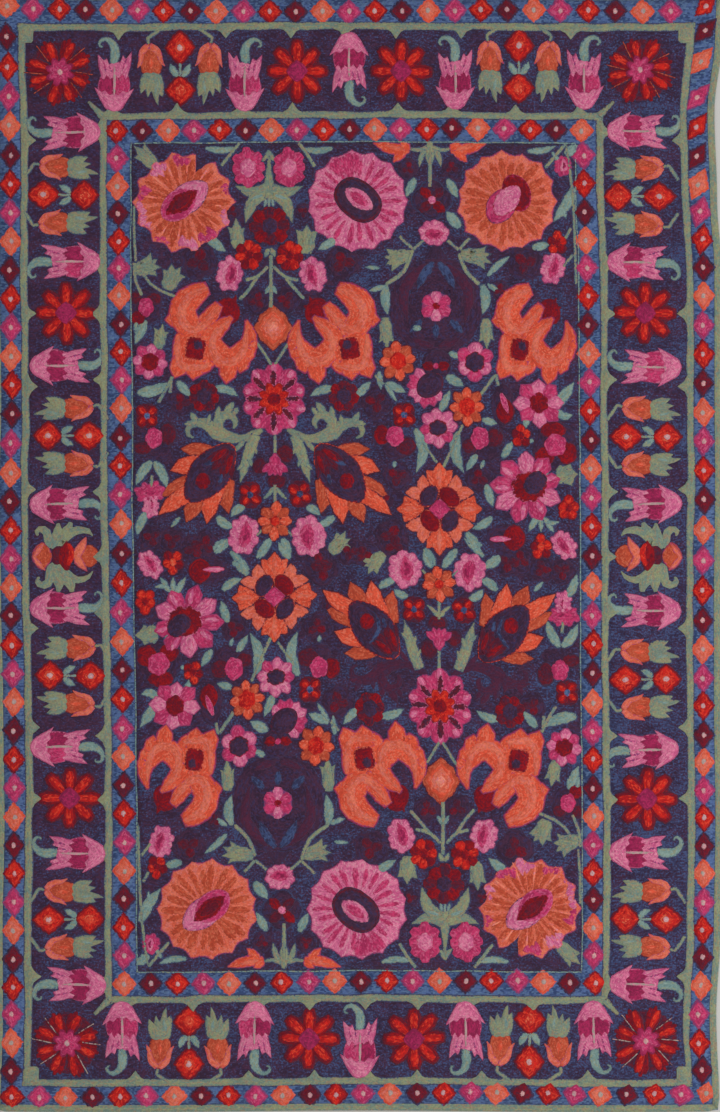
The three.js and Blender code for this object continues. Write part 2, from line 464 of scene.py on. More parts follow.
def easedLine(points):  # an eased line through the points, read by its share of the length
    line = []
    for i in range(len(points) - 1):
        p0, p1, p2, p3 = (Vector(points[max(0, min(len(points) - 1, k))]) for k in (i - 1, i, i + 1, i + 2))
        steps = making["lineSteps"] if len(points) > 2 else 1
        for step in range(steps):
            t = step / steps
            line.append(0.5 * (2 * p1 + (p2 - p0) * t + (2 * p0 - 5 * p1 + 4 * p2 - p3) * t * t
                               + (3 * p1 - p0 - 3 * p2 + p3) * t ** 3))
    line.append(Vector(points[-1]))
    reach = [0.0]
    for a, b in zip(line, line[1:]):
        reach.append(reach[-1] + (b - a).length)

    def at(share):
        goal = share * reach[-1]
        k = 0
        while k < len(line) - 2 and reach[k + 1] < goal:
            k += 1
        span = max(reach[k + 1] - reach[k], 1e-9)
        ahead = line[min(k + 2, len(line) - 1)] - line[k]
        behind = line[k + 1] - line[max(k - 1, 0)]
        part = (goal - reach[k]) / span
        direction = behind.lerp(ahead, part)
        return line[k].lerp(line[k + 1], part), direction.normalized()
    return at, reach[-1]


def easedOutline(points, steps):  # a closed line eased through the points
    points = [Vector(point) for point in points]
    line, ease = [], making["ease"]
    for k in range(len(points)):
        before, here, after, beyond = (points[(k + shift) % len(points)] for shift in (-1, 0, 1, 2))
        leaving, arriving = (after - before) * ease, (beyond - here) * ease
        for step in range(steps):
            t = step / steps
            line.append(here * (2 * t ** 3 - 3 * t * t + 1) + after * (3 * t * t - 2 * t ** 3)
                        + leaving * (t ** 3 - 2 * t * t + t) + arriving * (t ** 3 - t * t))
    return line


def widthAt(widths, share):
    place = share * (len(widths) - 1)
    k = min(int(place), len(widths) - 2)
    part = place - k
    part = part * part * (3 - 2 * part)
    return widths[k] + (widths[k + 1] - widths[k]) * part


def dyeBeneath(work, where, yarn, layer, onto):  # what shows between the stitches at a patch's rim
    laid = work["laid"].setdefault(where, [])
    lower = [known for height, known in laid if height < layer]
    laid.append((layer, yarn))
    light, dark = yarns[onto or (lower[-1] if lower else "dusk")][:2]
    return [(a + b) / 2 for a, b in zip(dye(light)[:3], dye(dark)[:3])]


def dyeFaces(work, yarn, faces, upper, beneath, rims, placeOf):  # and the place in its rows of each corner
    index = yarnIndex(work, yarn)
    for face in faces:
        face.material_index = index
        face.smooth = not upper.isdisjoint(face.verts)  # flat below, so that its rim isn't shaded dark
        for loop in face.loops:
            loop[work["rows"]].uv = placeOf(face, loop.vert)
            loop[work["beneath"]] = (*beneath, rims[loop.vert])


def rimShare(distance):  # 1 at the rim, and 0 so deep inside that nothing shows through
    return 1.0 - min(1.0, distance / rug["deepest"])


# A band of stitches along a spine, with its half-width from end to end. An edge is a row of another
# dye round it, one layer lower.
def ribbon(spot, yarn, spine, widths, layer=1, along=8, edge=None, onto=None):
    work, where = spot
    widths = widths if isinstance(widths, (list, tuple)) else [widths] * 3
    if edge:
        edgeYarn, margin = edge
        first, second, before, last = (Vector(spine[k]) for k in (0, 1, -2, -1))
        start = first + (first - second).normalized() * margin
        end = last + (last - before).normalized() * margin
        wider = [max(width, making["edgeLeast"]) + margin for width in widths]
        wider[0], wider[-1] = (widths[k] + margin * making["edgeEnds"] for k in (0, -1))
        ribbon(spot, edgeYarn, [start, *spine[1:-1], end], wider, layer - 1, along, None, onto)
    beneath = dyeBeneath(work, where, yarn, layer, None if edge else onto)
    at, reach = easedLine(spine)
    square, pitch, near = chart["square"], stitch["pitch"], making["near"]
    rowCount = max(1, round(2 * max(widths) * square / pitch))
    row, start = clothRow(work)
    base, widest = rug["face"] + layer * rug["layer"], max(widths)
    (share0, more), slope = making["bandWidth"], making["bandSlope"]
    made, faces = seed(work, making["bandSides"], along)
    places, rims, upper = {}, {}, set()
    for vertex in made:
        share = (1 - vertex.co.z) / 2
        flat = math.hypot(vertex.co.x, vertex.co.y)
        side, crown = (vertex.co.x / flat, vertex.co.y / flat) if flat > 1e-5 else (0.0, 0.0)
        width = share0 * widthAt(widths, share) + more
        if near < abs(crown) < 1 - near:  # flat above, with a narrow turned-down rim
            side = math.copysign(1 - min(making["rimMost"], rug["turned"] / square / width), side)
        point, direction = at(share)
        place = where(point.x + side * width * direction.y, point.y - side * width * direction.x)
        height = 0.0
        if crown > near:
            height = rug["rise"] * math.sqrt(min(1.0, width / widest)) * (1 - slope + slope * crown)
            upper.add(vertex)
        elif crown < -near:
            height = -rug["sink"]
        rims[vertex] = rimShare(square * min(width * (1 - abs(side)), share * reach, (1 - share) * reach))
        aside = side * (rowCount / 2 - making["rowInset"]) + 0.5 * (rowCount % 2)
        places[vertex] = (start + share * reach * square, (row + aside) * pitch)
        vertex.co = handWorked(place, base + height)
    dyeFaces(work, yarn, faces, upper, beneath, rims, lambda face, vertex: places[vertex])


# A filled shape: its rows follow the outline inwards, or run out from the middle like spokes
def patch(spot, yarn, outline, layer=1, middle=None, steps=3, rings=4, grain="round", edge=None, onto=None):
    line = easedOutline(outline, steps) if steps > 1 else [Vector(point) for point in outline]
    middle = Vector(middle) if middle else sum(line, Vector((0.0, 0.0))) / len(line)
    spread = rug["spread"] + (making["easedSpread"] if steps > 1 else 0.0)
    line = [point + (point - middle).normalized() * spread for point in line]
    if edge:
        edgeYarn, margin = edge
        wider = [point + (point - middle).normalized() * margin for point in line]
        workPatch(spot, edgeYarn, wider, layer - 1, middle, rings, grain, onto)
    workPatch(spot, yarn, line, layer, middle, rings, grain, None if edge else onto)


def workPatch(spot, yarn, line, layer, middle, rings, grain, onto):
    work, where = spot
    beneath = dyeBeneath(work, where, yarn, layer, onto)
    around = len(line)
    square, pitch, near = chart["square"], stitch["pitch"], making["near"]
    reaches = [(point - middle).length * square for point in line]
    arcs = [0.0]
    for k in range(around):
        arcs.append(arcs[-1] + making["rowArc"] * square * (line[(k + 1) % around] - line[k]).length)
    spokes = max(4, round(arcs[-1] / pitch))
    row, start = clothRow(work)
    base = rug["face"] + layer * rug["layer"]
    made, faces = seed(work, around, rings)
    polar, rims, upper = {}, {}, set()
    for vertex in made:
        share, turn = math.hypot(vertex.co.x, vertex.co.y), math.atan2(vertex.co.y,
            vertex.co.x) / (2 * math.pi)
        spoke = round((turn + 0.25) * around) % around
        if abs(abs(vertex.co.z) - math.sin(math.pi / rings)) < near:
            share = 1 - min(making["rimMost"], rug["turned"] / reaches[spoke])
        point = middle.lerp(line[spoke], share)
        height = 0.0
        if vertex.co.z > near:
            height = rug["rise"] * (1 - making["slope"] * share)
            upper.add(vertex)
        elif vertex.co.z < -near:
            height = -rug["sink"]
        polar[vertex] = (share, spoke if share > 1e-5 else None)
        rims[vertex] = rimShare((1 - share) * reaches[spoke])
        vertex.co = handWorked(where(point.x, point.y), base + height)

    def placeOf(face, vertex):
        share, spoke = polar[vertex]
        known = [polar[other][1] for other in face.verts if polar[other][1] is not None]
        wraps = max(known) - min(known) > around / 2
        ends = known if spoke is None else [spoke]
        arc = sum(arcs[around if wraps and end == 0 else end] for end in ends) / len(ends)
        reach = sum(reaches[end] for end in ends) / len(ends)
        if grain == "round":
            return start + arc, (row + making["rowStart"]) * pitch - (1 - share) * reach
        return start + share * reach, (row + arc / arcs[-1] * spokes) * pitch
    dyeFaces(work, yarn, faces, upper, beneath, rims, placeOf)


def lens(spot, yarn, radius, layer=1, around=12, rings=4, grain="round", edge=None, middle=(0, 0), onto=None):
    reachOf = radius if callable(radius) else (lambda angle: radius)
    angles = [2 * math.pi * k / around for k in range(around)]
    outline = [(middle[0] + reachOf(angle) * math.cos(angle), middle[1] + reachOf(angle) * math.sin(angle))
               for angle in angles]
    patch(spot, yarn, outline, layer, middle, 1, rings, grain, edge, onto)


# Outlines of the small shapes, as reach from the middle at each angle
def oval(wide, tall, roundness=2.0, turn=0.0):
    tilt = math.radians(turn)

    def reach(angle):
        angle -= tilt
        across, up = abs(math.cos(angle) / wide), abs(math.sin(angle) / tall)
        return (across ** roundness + up ** roundness) ** (-1 / roundness)
    return reach


def lobed(wide, lobes, depth, turn=0.0, tall=None):
    tilt, whole = math.radians(turn), oval(wide, tall or wide)
    return lambda angle: whole(angle) * (1 - depth + depth * abs(math.cos(lobes * (angle - tilt) / 2)))


# The cloth itself and the worked ground of each zone
clothSheet = {
    "thickness": 0.0026, "edge": 0.0026, "cells": (40, 60),
    "hemFrom": (0.985, 0.99),  # where its edge is pressed flat, across and along
    "hem": {"face": 0.0021, "under": 0.0011, "below": 0.0023},
    "under": 0.0002,
}
# Rings of the layout, as left, top, right and bottom
boxes = {
    "edge": (1.6, -0.8, 712.8, 1104.3), "outer": (26, 26.5, 689, 1082), "inner": (105.5, 115.5, 604, 999),
    "field": (133.2, 142.2, 580, 971.8), "fieldLine": (133.5, 142.5, 579.5, 971.5),
}
zones = {  # each zone's dye, and its outer and inner ring
    "outerGuardGround": ("guardGround", "edge", "outer"), "borderGround": ("borderGround", "outer", "inner"),
    "innerGuardGround": ("guardGround", "inner", "field"), "fieldGround": ("fieldGround", "field", None),
}
zoneMade = {"depth": 0.0008, "cell": 9.0}


def lines(low, inLow, inHigh, high, cell):  # grid lines that fall on all four edges
    marks = []
    for a, b in ((low, inLow), (inLow, inHigh), (inHigh, high)):
        count = max(1, round((b - a) / cell))
        marks += [a + (b - a) * k / count for k in range(count)]
    return marks + [high]


def zone(name):
    yarn, outer, inner = zones[name]
    work = newWork(name)
    mesh = work["mesh"]
    left, top, right, bottom = boxes[outer]
    hole = boxes[inner] if inner else ((left + right) / 2, (top + bottom) / 2) * 2
    columns = lines(left, hole[0], hole[2] if inner else hole[0] + 1, right, zoneMade["cell"])
    levels = lines(top, hole[1], hole[3] if inner else hole[1] + 1, bottom, zoneMade["cell"])
    bmesh.ops.create_grid(mesh, x_segments=len(columns) - 1, y_segments=len(levels) - 1, size=1.0)
    for vertex in mesh.verts:
        across = columns[round((vertex.co.x + 1) / 2 * (len(columns) - 1))]
        down = levels[round((1 - vertex.co.y) / 2 * (len(levels) - 1))]
        vertex.co = (across, down, 0.0)
    if inner:
        middles = [(face, face.calc_center_median()) for face in mesh.faces]
        inside = [face for face, at in middles if hole[0] < at.x < hole[2] and hole[1] < at.y < hole[3]]
        bmesh.ops.delete(mesh, geom=inside, context="FACES")
    for vertex in mesh.verts:
        x, y = onFrame(vertex.co.x, vertex.co.y)
        vertex.co = puckered(x, y, rug["face"])
    skirt = bmesh.ops.extrude_face_region(mesh, geom=mesh.faces[:])["geom"]
    lower = [part for part in skirt if isinstance(part, bmesh.types.BMVert)]
    bmesh.ops.translate(mesh, verts=lower, vec=(0, 0, -zoneMade["depth"]))
    for face in mesh.faces:
        face.smooth = abs(face.normal.z) > 0.5
    yarnIndex(work, yarn)
    finishWork(work)


def groundCloth():
    work = newWork("groundCloth")
    mesh = work["mesh"]
    (across, along), hem = clothSheet["cells"], clothSheet["hem"]
    bmesh.ops.create_grid(mesh, x_segments=across, y_segments=along, size=1.0)
    halfWidth, halfLength = rug["width"] / 2 - clothSheet["edge"], rug["length"] / 2 - clothSheet["edge"]
    for vertex in mesh.verts:
        x, y = lie(vertex.co.x * halfWidth, vertex.co.y * halfLength)
        pressed = abs(vertex.co.x) > clothSheet["hemFrom"][0] or abs(vertex.co.y) > clothSheet["hemFrom"][1]
        vertex.co = puckered(x, y, hem["face"] if pressed else clothSheet["thickness"])
    skirt = bmesh.ops.extrude_face_region(mesh, geom=mesh.faces[:])["geom"]
    for part in skirt:
        if isinstance(part, bmesh.types.BMVert):
            part.co.z = hem["under"] if part.co.z < hem["below"] else clothSheet["under"]
    yarnIndex(work, "guardGround")
    piece = finishWork(work)
    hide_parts("ground_cloth")
    return piece


cloth = groundCloth()
for zoneName in zones:
    zone(zoneName)
print("ground laid")

# The sage binding folded over the edge
binding = {
    # node, the two corners that each strip runs between, and how many cells along it
    "strips": {
        "bindingLeft": ("binding_left", (-1, 1), (-1, -1), 90),
        "bindingRight": ("binding_right", (1, -1), (1, 1), 90),
        "bindingTop": ("binding_top", (1, 1), (-1, 1), 60),
        "bindingBottom": ("binding_bottom", (-1, -1), (1, -1), 60),
    },
    # the folded section: how far in from the edge, and how high
    "section": [
        (0.0120, 0.0026), (0.0119, 0.0031), (0.0112, 0.0034), (0.0085, 0.0036), (0.0050, 0.0036),
        (0.0022, 0.0033),
        (0.0006, 0.0026), (0.0000, 0.0017), (0.0005, 0.0008), (0.0018, 0.0002), (0.0050, 0.0000),
        (0.0112, 0.0000),
        (0.0119, 0.0003), (0.0120, 0.0007), (0.0060, 0.0008), (0.0021, 0.0010), (0.0015, 0.0016),
        (0.0021, 0.0023),
        (0.0060, 0.0025),
    ],
    "mitreGap": 0.0003,
    "uneven": {"height": 0.00018, "scale": (40, 90), "slice": 2.0, "above": 0.002},
    "seam": 0.00002,  # points of the seam that are no farther apart are joined
}


def roundedCorner(x, y):  # pulls the square corner in to the rug's rounded one
    radius = rug["cornerRadius"]
    insideX, insideY = rug["width"] / 2 - radius, rug["length"] / 2 - radius
    a, b = abs(x) - insideX, abs(y) - insideY
    if a <= 0 or b <= 0:
        return x, y
    shrink = max(a, b) / math.hypot(a, b)
    return math.copysign(insideX + a * shrink, x), math.copysign(insideY + b * shrink, y)


def bindingStrip(name):
    node, start, end, cells = binding["strips"][name]
    work = newWork(name)
    mesh, section, rough, gap = work["mesh"], binding["section"], binding["uneven"], binding["mitreGap"]
    bmesh.ops.create_grid(mesh, x_segments=cells, y_segments=len(section), size=1.0)
    corners = [Vector((right * rug["width"] / 2, up * rug["length"] / 2)) for right, up in (start, end)]
    length = (corners[1] - corners[0]).length
    ahead = (corners[1] - corners[0]) / length
    inward = Vector((-ahead.y, ahead.x))
    rim = [0.0]
    for k in range(len(section)):
        here, following = Vector(section[k]), Vector(section[(k + 1) % len(section)])
        rim.append(rim[-1] + (following - here).length)
    places = {}
    for vertex in mesh.verts:
        share = (vertex.co.x + 1) / 2
        k = round((vertex.co.y + 1) / 2 * len(section))
        inset, height = section[k % len(section)]
        run = inset + gap / 2 + share * (length - 2 * inset - gap)
        flat = corners[0] + ahead * run + inward * inset
        x, y = lie(*roundedCorner(flat.x, flat.y))
        place = Vector((run * rough["scale"][0], inset * rough["scale"][1], rough["slice"]))
        uneven = rough["height"] * noise.noise(place) if height > rough["above"] else 0.0
        places[vertex] = (run, rim[k])
        vertex.co = Vector((x, y, height + uneven))
    for face in mesh.faces:
        face.smooth = True
        for loop in face.loops:
            loop[work["rows"]].uv = places[loop.vert]
            loop[work["beneath"]] = (0.0, 0.0, 0.0, 0.0)
    bmesh.ops.remove_doubles(mesh, verts=mesh.verts, dist=binding["seam"])
    bmesh.ops.holes_fill(mesh, edges=[edge for edge in mesh.edges if edge.is_boundary])
    yarnIndex(work, "sage")
    piece = finishWork(work)
    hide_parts(node)


for strip in binding["strips"]:
    bindingStrip(strip)
print("binding folded over the edge")


# Sage frame lines, with their corner blocks and pointed bumps
frameLines = {
    # each line's dye, box, half width, sway and edge
    "lines": (("sage", "outer", 3.7, 0.75, ("navy", 0.7)), ("sage", "inner", 3.6, 0.75, ("navy", 0.7)),
              ("greySage", "fieldLine", 0.6, 0.4, None)),
    "cell": 24, "cellSteps": 4, "uneven": 0.13,
    "block": {"half": (6.8, 8.8), "in": 2},
    "spike": ([(0, 0), (0, 10), (0, 21)], [4.5, 2.6, 1.6]),
    # the bumps' middles: across the ends, and down the sides
    "bumps": {
        "outerTop": (124, 231, 296, 349, 400, 464.5, 572),
        "innerTop": (114, 180, 244.5, 296, 402, 455.5, 520, 584),
        "innerBottom": (123, 188.5, 255, 305, 361, 414, 466, 531, 597),
        "outerBottom": (132.5, 244.5, 310, 364.5, 413, 478, 586),
        "outerSide": (140, 313, 386, 489, 628, 727, 798, 976),
        "innerSide": (131, 263, 313, 379, 491, 556, 612, 735, 799, 852, 984),
    },
    "bump": {"wide": 9.5, "tall": 8.0, "unevenWide": 0.15, "unevenTall": 0.12, "off": 3},
}


def longLine(work, yarn, start, end, half, sway, edge):
    count = max(6, round(math.hypot(end[0] - start[0], end[1] - start[1]) / frameLines["cell"]))
    spine = []
    for k in range(count + 1):
        share = k / count
        spine.append(tuple(a + (b - a) * share + about(work, sway) for a, b in zip(start, end)))
    widths = [half * (1 + about(work, frameLines["uneven"])) for _ in spine]
    ribbon((work, onFrame), yarn, spine, widths, along=count * frameLines["cellSteps"], edge=edge)


def frameBox(work, yarn, box, half, sway, edge):
    left, top, right, bottom = boxes[box]
    corners = ((left, top), (right, top), (right, bottom), (left, bottom))
    for k in range(4):
        start, end = corners[k], corners[(k + 1) % 4]
        reach = math.hypot(end[0] - start[0], end[1] - start[1])
        aheadX, aheadY = (end[0] - start[0]) / reach * half, (end[1] - start[1]) / reach * half
        start, end = (start[0] - aheadX, start[1] - aheadY), (end[0] + aheadX, end[1] + aheadY)
        longLine(work, yarn, start, end, half, sway, edge)


def bump(work, across, down, turn):  # stands on the line, with hollow flanks
    size = frameLines["bump"]
    wide = size["wide"] * (1 + about(work, size["unevenWide"]))
    tall = size["tall"] * (1 + about(work, size["unevenTall"]))
    flank = [(-1.6, tall * 0.72), (-wide * 0.45, tall * 0.26), (-wide, 0), (-wide * 0.9, -2.6)]
    outline = [(0, tall), *flank, (0, -3.4), *((-right, up) for right, up in reversed(flank))]
    patch((work, placed(across, down, turn, way=onFrame)), "sage", outline, 2, (0, 0.5), steps=2, onto="sage")


lineWork = newWork("frameLines")
for line in frameLines["lines"]:
    frameBox(lineWork, *line)
(outerLeft, outerTop, outerRight, outerBottom), (innerLeft, innerTop, innerRight, innerBottom) = (
    boxes[name] for name in ("outer", "inner"))
(wide, tall), blockIn = frameLines["block"]["half"], frameLines["block"]["in"]
for across, down, right, up in ((outerLeft, outerTop, 1, -1), (outerRight, outerTop, -1, -1),
                                (outerLeft, outerBottom, 1, 1), (outerRight, outerBottom, -1, 1)):
    corner = placed(across + right * (wide - blockIn), down - up * (tall - blockIn), way=onFrame)
    lens((lineWork, corner), "sage", oval(wide, tall, 7.0), 2, 24, onto="sage")
bumps, off = frameLines["bumps"], frameLines["bump"]["off"]
for name, down, turn in (("outerTop", outerTop + off, 180), ("innerTop", innerTop - off, 0),
                         ("innerBottom", innerBottom + off, 180), ("outerBottom", outerBottom - off, 0)):
    for across in bumps[name]:
        bump(lineWork, across, down, turn)
for name, left, right, turn in (("outerSide", outerLeft + off, outerRight - off, 90),
                                ("innerSide", innerLeft - off, innerRight + off, -90)):
    for down in bumps[name]:
        bump(lineWork, left, down, -turn)
        bump(lineWork, right, down, turn)
for across, down, turn in ((innerLeft, innerTop, 45), (innerRight, innerTop, -45),
                           (innerLeft, innerBottom, 135), (innerRight, innerBottom, -135)):
    ribbon((lineWork, placed(across, down, turn, way=onFrame)), "sage", *frameLines["spike"], 2)
finishWork(lineWork)
print("frame lines worked")

# Diamonds of the two guards, in four colours by turns. Each row's places, turns and half sizes are
# given at some of its diamonds and eased between them.
guards = {
    # rim, body, how much of the diamond the body takes, and dot
    "colours": {"coral": ("orange", "coral", 0.74, "ash"),
        "magenta": ("mauve", "magenta", 0.80, "paleThread"),
                "red": ("darkRed", "red", 0.80, "paleThread"), "plum": ("plum", "wine", 0.80, "paleThread")},
    "dot": (2.0, 2.7),
    "roundness": {"square": 1.4, "long": 1.24}, "nub": (0.06, 0.035),
    "uneven": {"place": 0.5, "turn": 3, "wide": 0.04, "tall": 0.03, "nub": 0.04, "dot": 0.8},
    "rows": {
        "guardDiamondsOuter": [
            {"order": ("plum", "red", "magenta", "coral"), "sizes": {0: (10.8, 14.4)}, "swapped": (12, 13),
             "places": {0: (7, 37), 4: (10.6, 155.5), 8: (10.4, 270), 12: (11.8, 385), 16: (10.4, 502),
                 20: (11, 616),
                        24: (14.2, 731), 28: (14.4, 845), 32: (13, 959), 36: (10.8, 1070.5)}},
            {"order": ("plum", "coral", "magenta", "red"),
             "places": {0: (705.2, 31), 1: (701.2, 60.6), 2: (697.8, 97), 4: (696.8, 156), 8: (703.4, 267),
                 12: (703, 383),
                        16: (703.9, 499.5), 20: (702.6, 620.5), 24: (703.3, 734.5), 28: (704, 846),
                        32: (702.4, 957.5),
                        34: (698.6, 1014.5), 35: (699.2, 1043), 36: (702.4, 1070.4)},
             "turns": {0: -45, 2: -40, 5: -25, 8: 0, 36: 0},
             "sizes": {0: (9.0, 15.5), 2: (8.5, 17), 5: (10, 15.5), 8: (10.8, 14.4)}},
            {"order": ("coral", "magenta", "red", "plum"), "sizes": {0: (11.6, 11.6)},
             "places": {0: (7, 6), 1: (33, 9), 5: (138, 10.5), 9: (243, 11.8), 13: (348.7, 11.5),
                 17: (454.7, 10.2),
                        21: (560.3, 10.2), 25: (670, 11.8)}},
            {"order": ("red", "magenta", "coral", "plum"),
             "places": {0: (12.2, 1097), 3: (92.5, 1097), 9: (256, 1095.8), 17: (470.5, 1092),
                 22: (600.3, 1094), 25: (681.8, 1094),
                        26: (705.5, 1093)},
             "turns": {0: 0, 15: 0, 19: -11, 26: -13},
             "sizes": {0: (11.6, 11.6), 25: (11.6, 11.6), 26: (8.8, 10.5)}},
            {"order": ("red",), "sizes": {0: (8, 13)}, "places": {0: (705.5, 6.5)}, "turns": {0: -50}},
        ],
        "guardDiamondsInner": [
            {"order": ("magenta", "coral", "plum", "red"), "sizes": {0: (11.2, 13.8)},
             "places": {0: (116.8, 159), 4: (119, 268.5), 8: (121.6, 379.5), 12: (120.8, 494.6),
                 16: (121.3, 612),
                        20: (123, 728.4), 24: (124.4, 842.4), 28: (124.2, 955.6)}},
            {"order": ("magenta", "red", "plum", "coral"), "sizes": {0: (11.2, 13.8)},
             "places": {0: (583.4, 155.8), 4: (586.4, 268), 8: (589.4, 382), 12: (591.8, 497.4),
                 16: (592.8, 615.6),
                        20: (592.6, 732), 24: (593.2, 844.6), 28: (593.6, 955)}},
            {"order": ("red", "plum", "coral", "magenta"), "sizes": {0: (11.6, 11.6)},
             "places": {0: (116.2, 130.8), 4: (220, 130), 9: (349.5, 129.5), 14: (478.3, 128.3),
                 18: (581.8, 130.2)}},
            {"order": ("coral", "plum", "red", "magenta"), "sizes": {0: (11.6, 11.6)},
             "places": {0: (124.5, 984), 4: (229.5, 983.2), 9: (360.5, 980.8), 14: (491.8, 980.8),
                 18: (595, 983)}},
        ],
    },
}


def between(given, k):  # the value at place k of a row, eased between those given
    marks = sorted(given)
    if k >= marks[-1]:
        return given[marks[-1]]
    for low, high in zip(marks, marks[1:]):
        if k <= high:
            share = (k - low) / (high - low)
            if isinstance(given[low], tuple):
                return tuple(a + (b - a) * share for a, b in zip(given[low], given[high]))
            return given[low] + (given[high] - given[low]) * share


def guardDiamond(work, place, colour, size, turn):
    (rim, body, share, dot), uneven = guards["colours"][colour], guards["uneven"]
    across, down = (part + about(work, uneven["place"]) for part in place)
    spot = work, placed(across, down, turn + about(work, uneven["turn"]))
    wide, tall = size[0] * (1 + about(work, uneven["wide"])), size[1] * (1 + about(work, uneven["tall"]))
    roundness = guards["roundness"]["square" if abs(wide - tall) < 1 else "long"]
    nub, finer = guards["nub"]
    nub *= 1 + about(work, uneven["nub"])

    def outer(angle):  # with a small nub at each point
        return oval(wide, tall,
            roundness)(angle) * (1 + nub * math.cos(4 * angle) + finer * math.cos(12 * angle))
    lens(spot, rim, outer, 1, 24, onto="denim")
    lens(spot, body, lambda angle: outer(angle) * share, 2, 16)
    middle = (about(work, uneven["dot"]), about(work, uneven["dot"]))
    lens(spot, dot, oval(*guards["dot"]), 4, 8, middle=middle)


for name, rows in guards["rows"].items():
    work = newWork(name)
    for row in rows:
        for k in range(max(row["places"]) + 1):
            colour = row["order"][k % len(row["order"])]
            if k in row.get("swapped", ()):
                colour = row["order"][(sum(row["swapped"]) - k) % len(row["order"])]
            turn = between(row.get("turns", {0: 0}), k)
            guardDiamond(work, between(row["places"], k), colour, between(row["sizes"], k), turn)
    finishWork(work)
print("guards worked")

# Where the motifs of the wide border lie
border = {
    "cornerStars": [(60, 72, 6), (640, 70, -4), (67, 1043, 3), (646, 1041, 8)],
    "stars": [(297, 71), (401, 71), (309, 1039), (414, 1039), (66, 313), (645, 313), (69.6, 798), (647, 799)],
    # middle, the way that its base points away from, and whether its stem curls to the other side
    "tulips": [
        (114, 81, 0, False), (244.5, 81, 0, True), (455, 78.5, 0, False), (584, 79, 0, True),
        (349, 63, 180, False),
        (122, 1032, 180, True), (255, 1032, 180, False), (466, 1032, 180, True), (594, 1031, 180, False),
        (360, 1047, 0, False),
        (70, 132, 90, True), (70, 262, 90, False), (61, 366, -90, False), (61, 504.5, -90, True),
        (61, 608, -90, False), (61, 746.6, -90, True), (75, 853, 90, True), (76, 985, 90, False),
        (638, 131, -90, False), (638, 263, -90, True), (650, 367, 90, True), (651, 504, 90, False),
        (650, 611, 90, True), (648, 750, 90, False), (640, 852, -90, False), (640, 984, -90, True),
    ],
    # middle, turn, size, and whether the far diamond has a pale dot too
    "groups": [
        (180, 69, 0, 1.0, False), (519, 67, 0, 1.0, False), (189, 1043, 180, 1.0, False),
        (529.5, 1041, 180, 1.0, False),
        (64, 195, 90, 0.96, False), (69, 436, -90, 0.96, True), (71, 675.5, -90, 0.96, True),
        (69, 919, 90, 0.96, False),
        (639, 196, -90, 0.96, False), (646, 436.5, 90, 0.96, True), (646, 679, 90, 0.96, True),
        (646, 919, -90, 0.96, False),
    ],
}


def both(draw):  # a shape and its mirror image
    for side in (1, -1):
        draw(side)


def ray(angle, reach, off=0.0):  # a point so far out at an angle, and off to its side
    return math.cos(angle) * reach - math.sin(angle) * off, math.sin(angle) * reach + math.cos(angle) * off


def spoke(angle, *stops):  # points at an angle, each so far out, or so far out and off to its side
    return [ray(angle, *stop) if isinstance(stop, tuple) else ray(angle, stop) for stop in stops]


def curl(middle, reach, inner, start, sweep, count=6):  # points of a hook or a spiral round its middle
    points = []
    for k in range(count):
        share = k / (count - 1)
        angle = math.radians(start + sweep * share)
        out = reach + (inner - reach) * share
        points.append((middle[0] + out * math.cos(angle), middle[1] - out * math.sin(angle)))
    return points


def leaf(spot, yarn, base, tip, half, bend=0.0, layer=1, edge=("navy", 1.2), full=0.45):
    base, tip = Vector(base), Vector(tip)
    along = tip - base
    middle = (base + tip) / 2 + Vector((along.y, -along.x)).normalized() * bend
    ribbon(spot, yarn, [base, middle, tip], [half * full, half, half * 0.85, 0.5], layer, edge=edge)


def fanLeaf(spot, yarn, base, tip, half, points, layer=1, edge=("navy", 1.2)):  # a leaf with several points
    work = spot[0]
    base, along = Vector(base), Vector(tip) - Vector(base)
    spread = math.atan2(half, 0.75 * along.length)
    for k in range(points):
        side = 2 * k / (points - 1) - 1
        turned = Vector((along.x * math.cos(side * spread) - along.y * math.sin(side * spread),
                         along.x * math.sin(side * spread) + along.y * math.cos(side * spread)))
        end = base + turned * (1 - 0.2 * abs(side) + about(work, 0.06))
        middle = base + along * 0.3 + (end - base) * 0.25
        width = half * 1.7 / points
        ribbon(spot, yarn, [base, middle, end], [width * 0.8, width * 1.3, width * 0.9, 0.3], layer,
            edge=edge)


def petalRing(spot, yarns, count, near, far, half, layer, turn, tall, tip, edge=None):
    work = spot[0]
    yarns = yarns if isinstance(yarns, tuple) else (yarns,)
    for k in range(count):
        angle = math.radians(turn + 360 * k / count + about(work, 2.5))
        stretch = math.hypot(math.cos(angle), tall * math.sin(angle))
        end, width = far * stretch * (1 + about(work, 0.05)), half * (1 + about(work, 0.08))
        spine = spoke(angle, near * stretch, ((near * stretch + end) / 2, about(work, 0.6)), end)
        ribbon(spot, yarns[k % len(yarns)], spine, [width * 0.55, width, width, width * tip], layer,
            edge=edge)


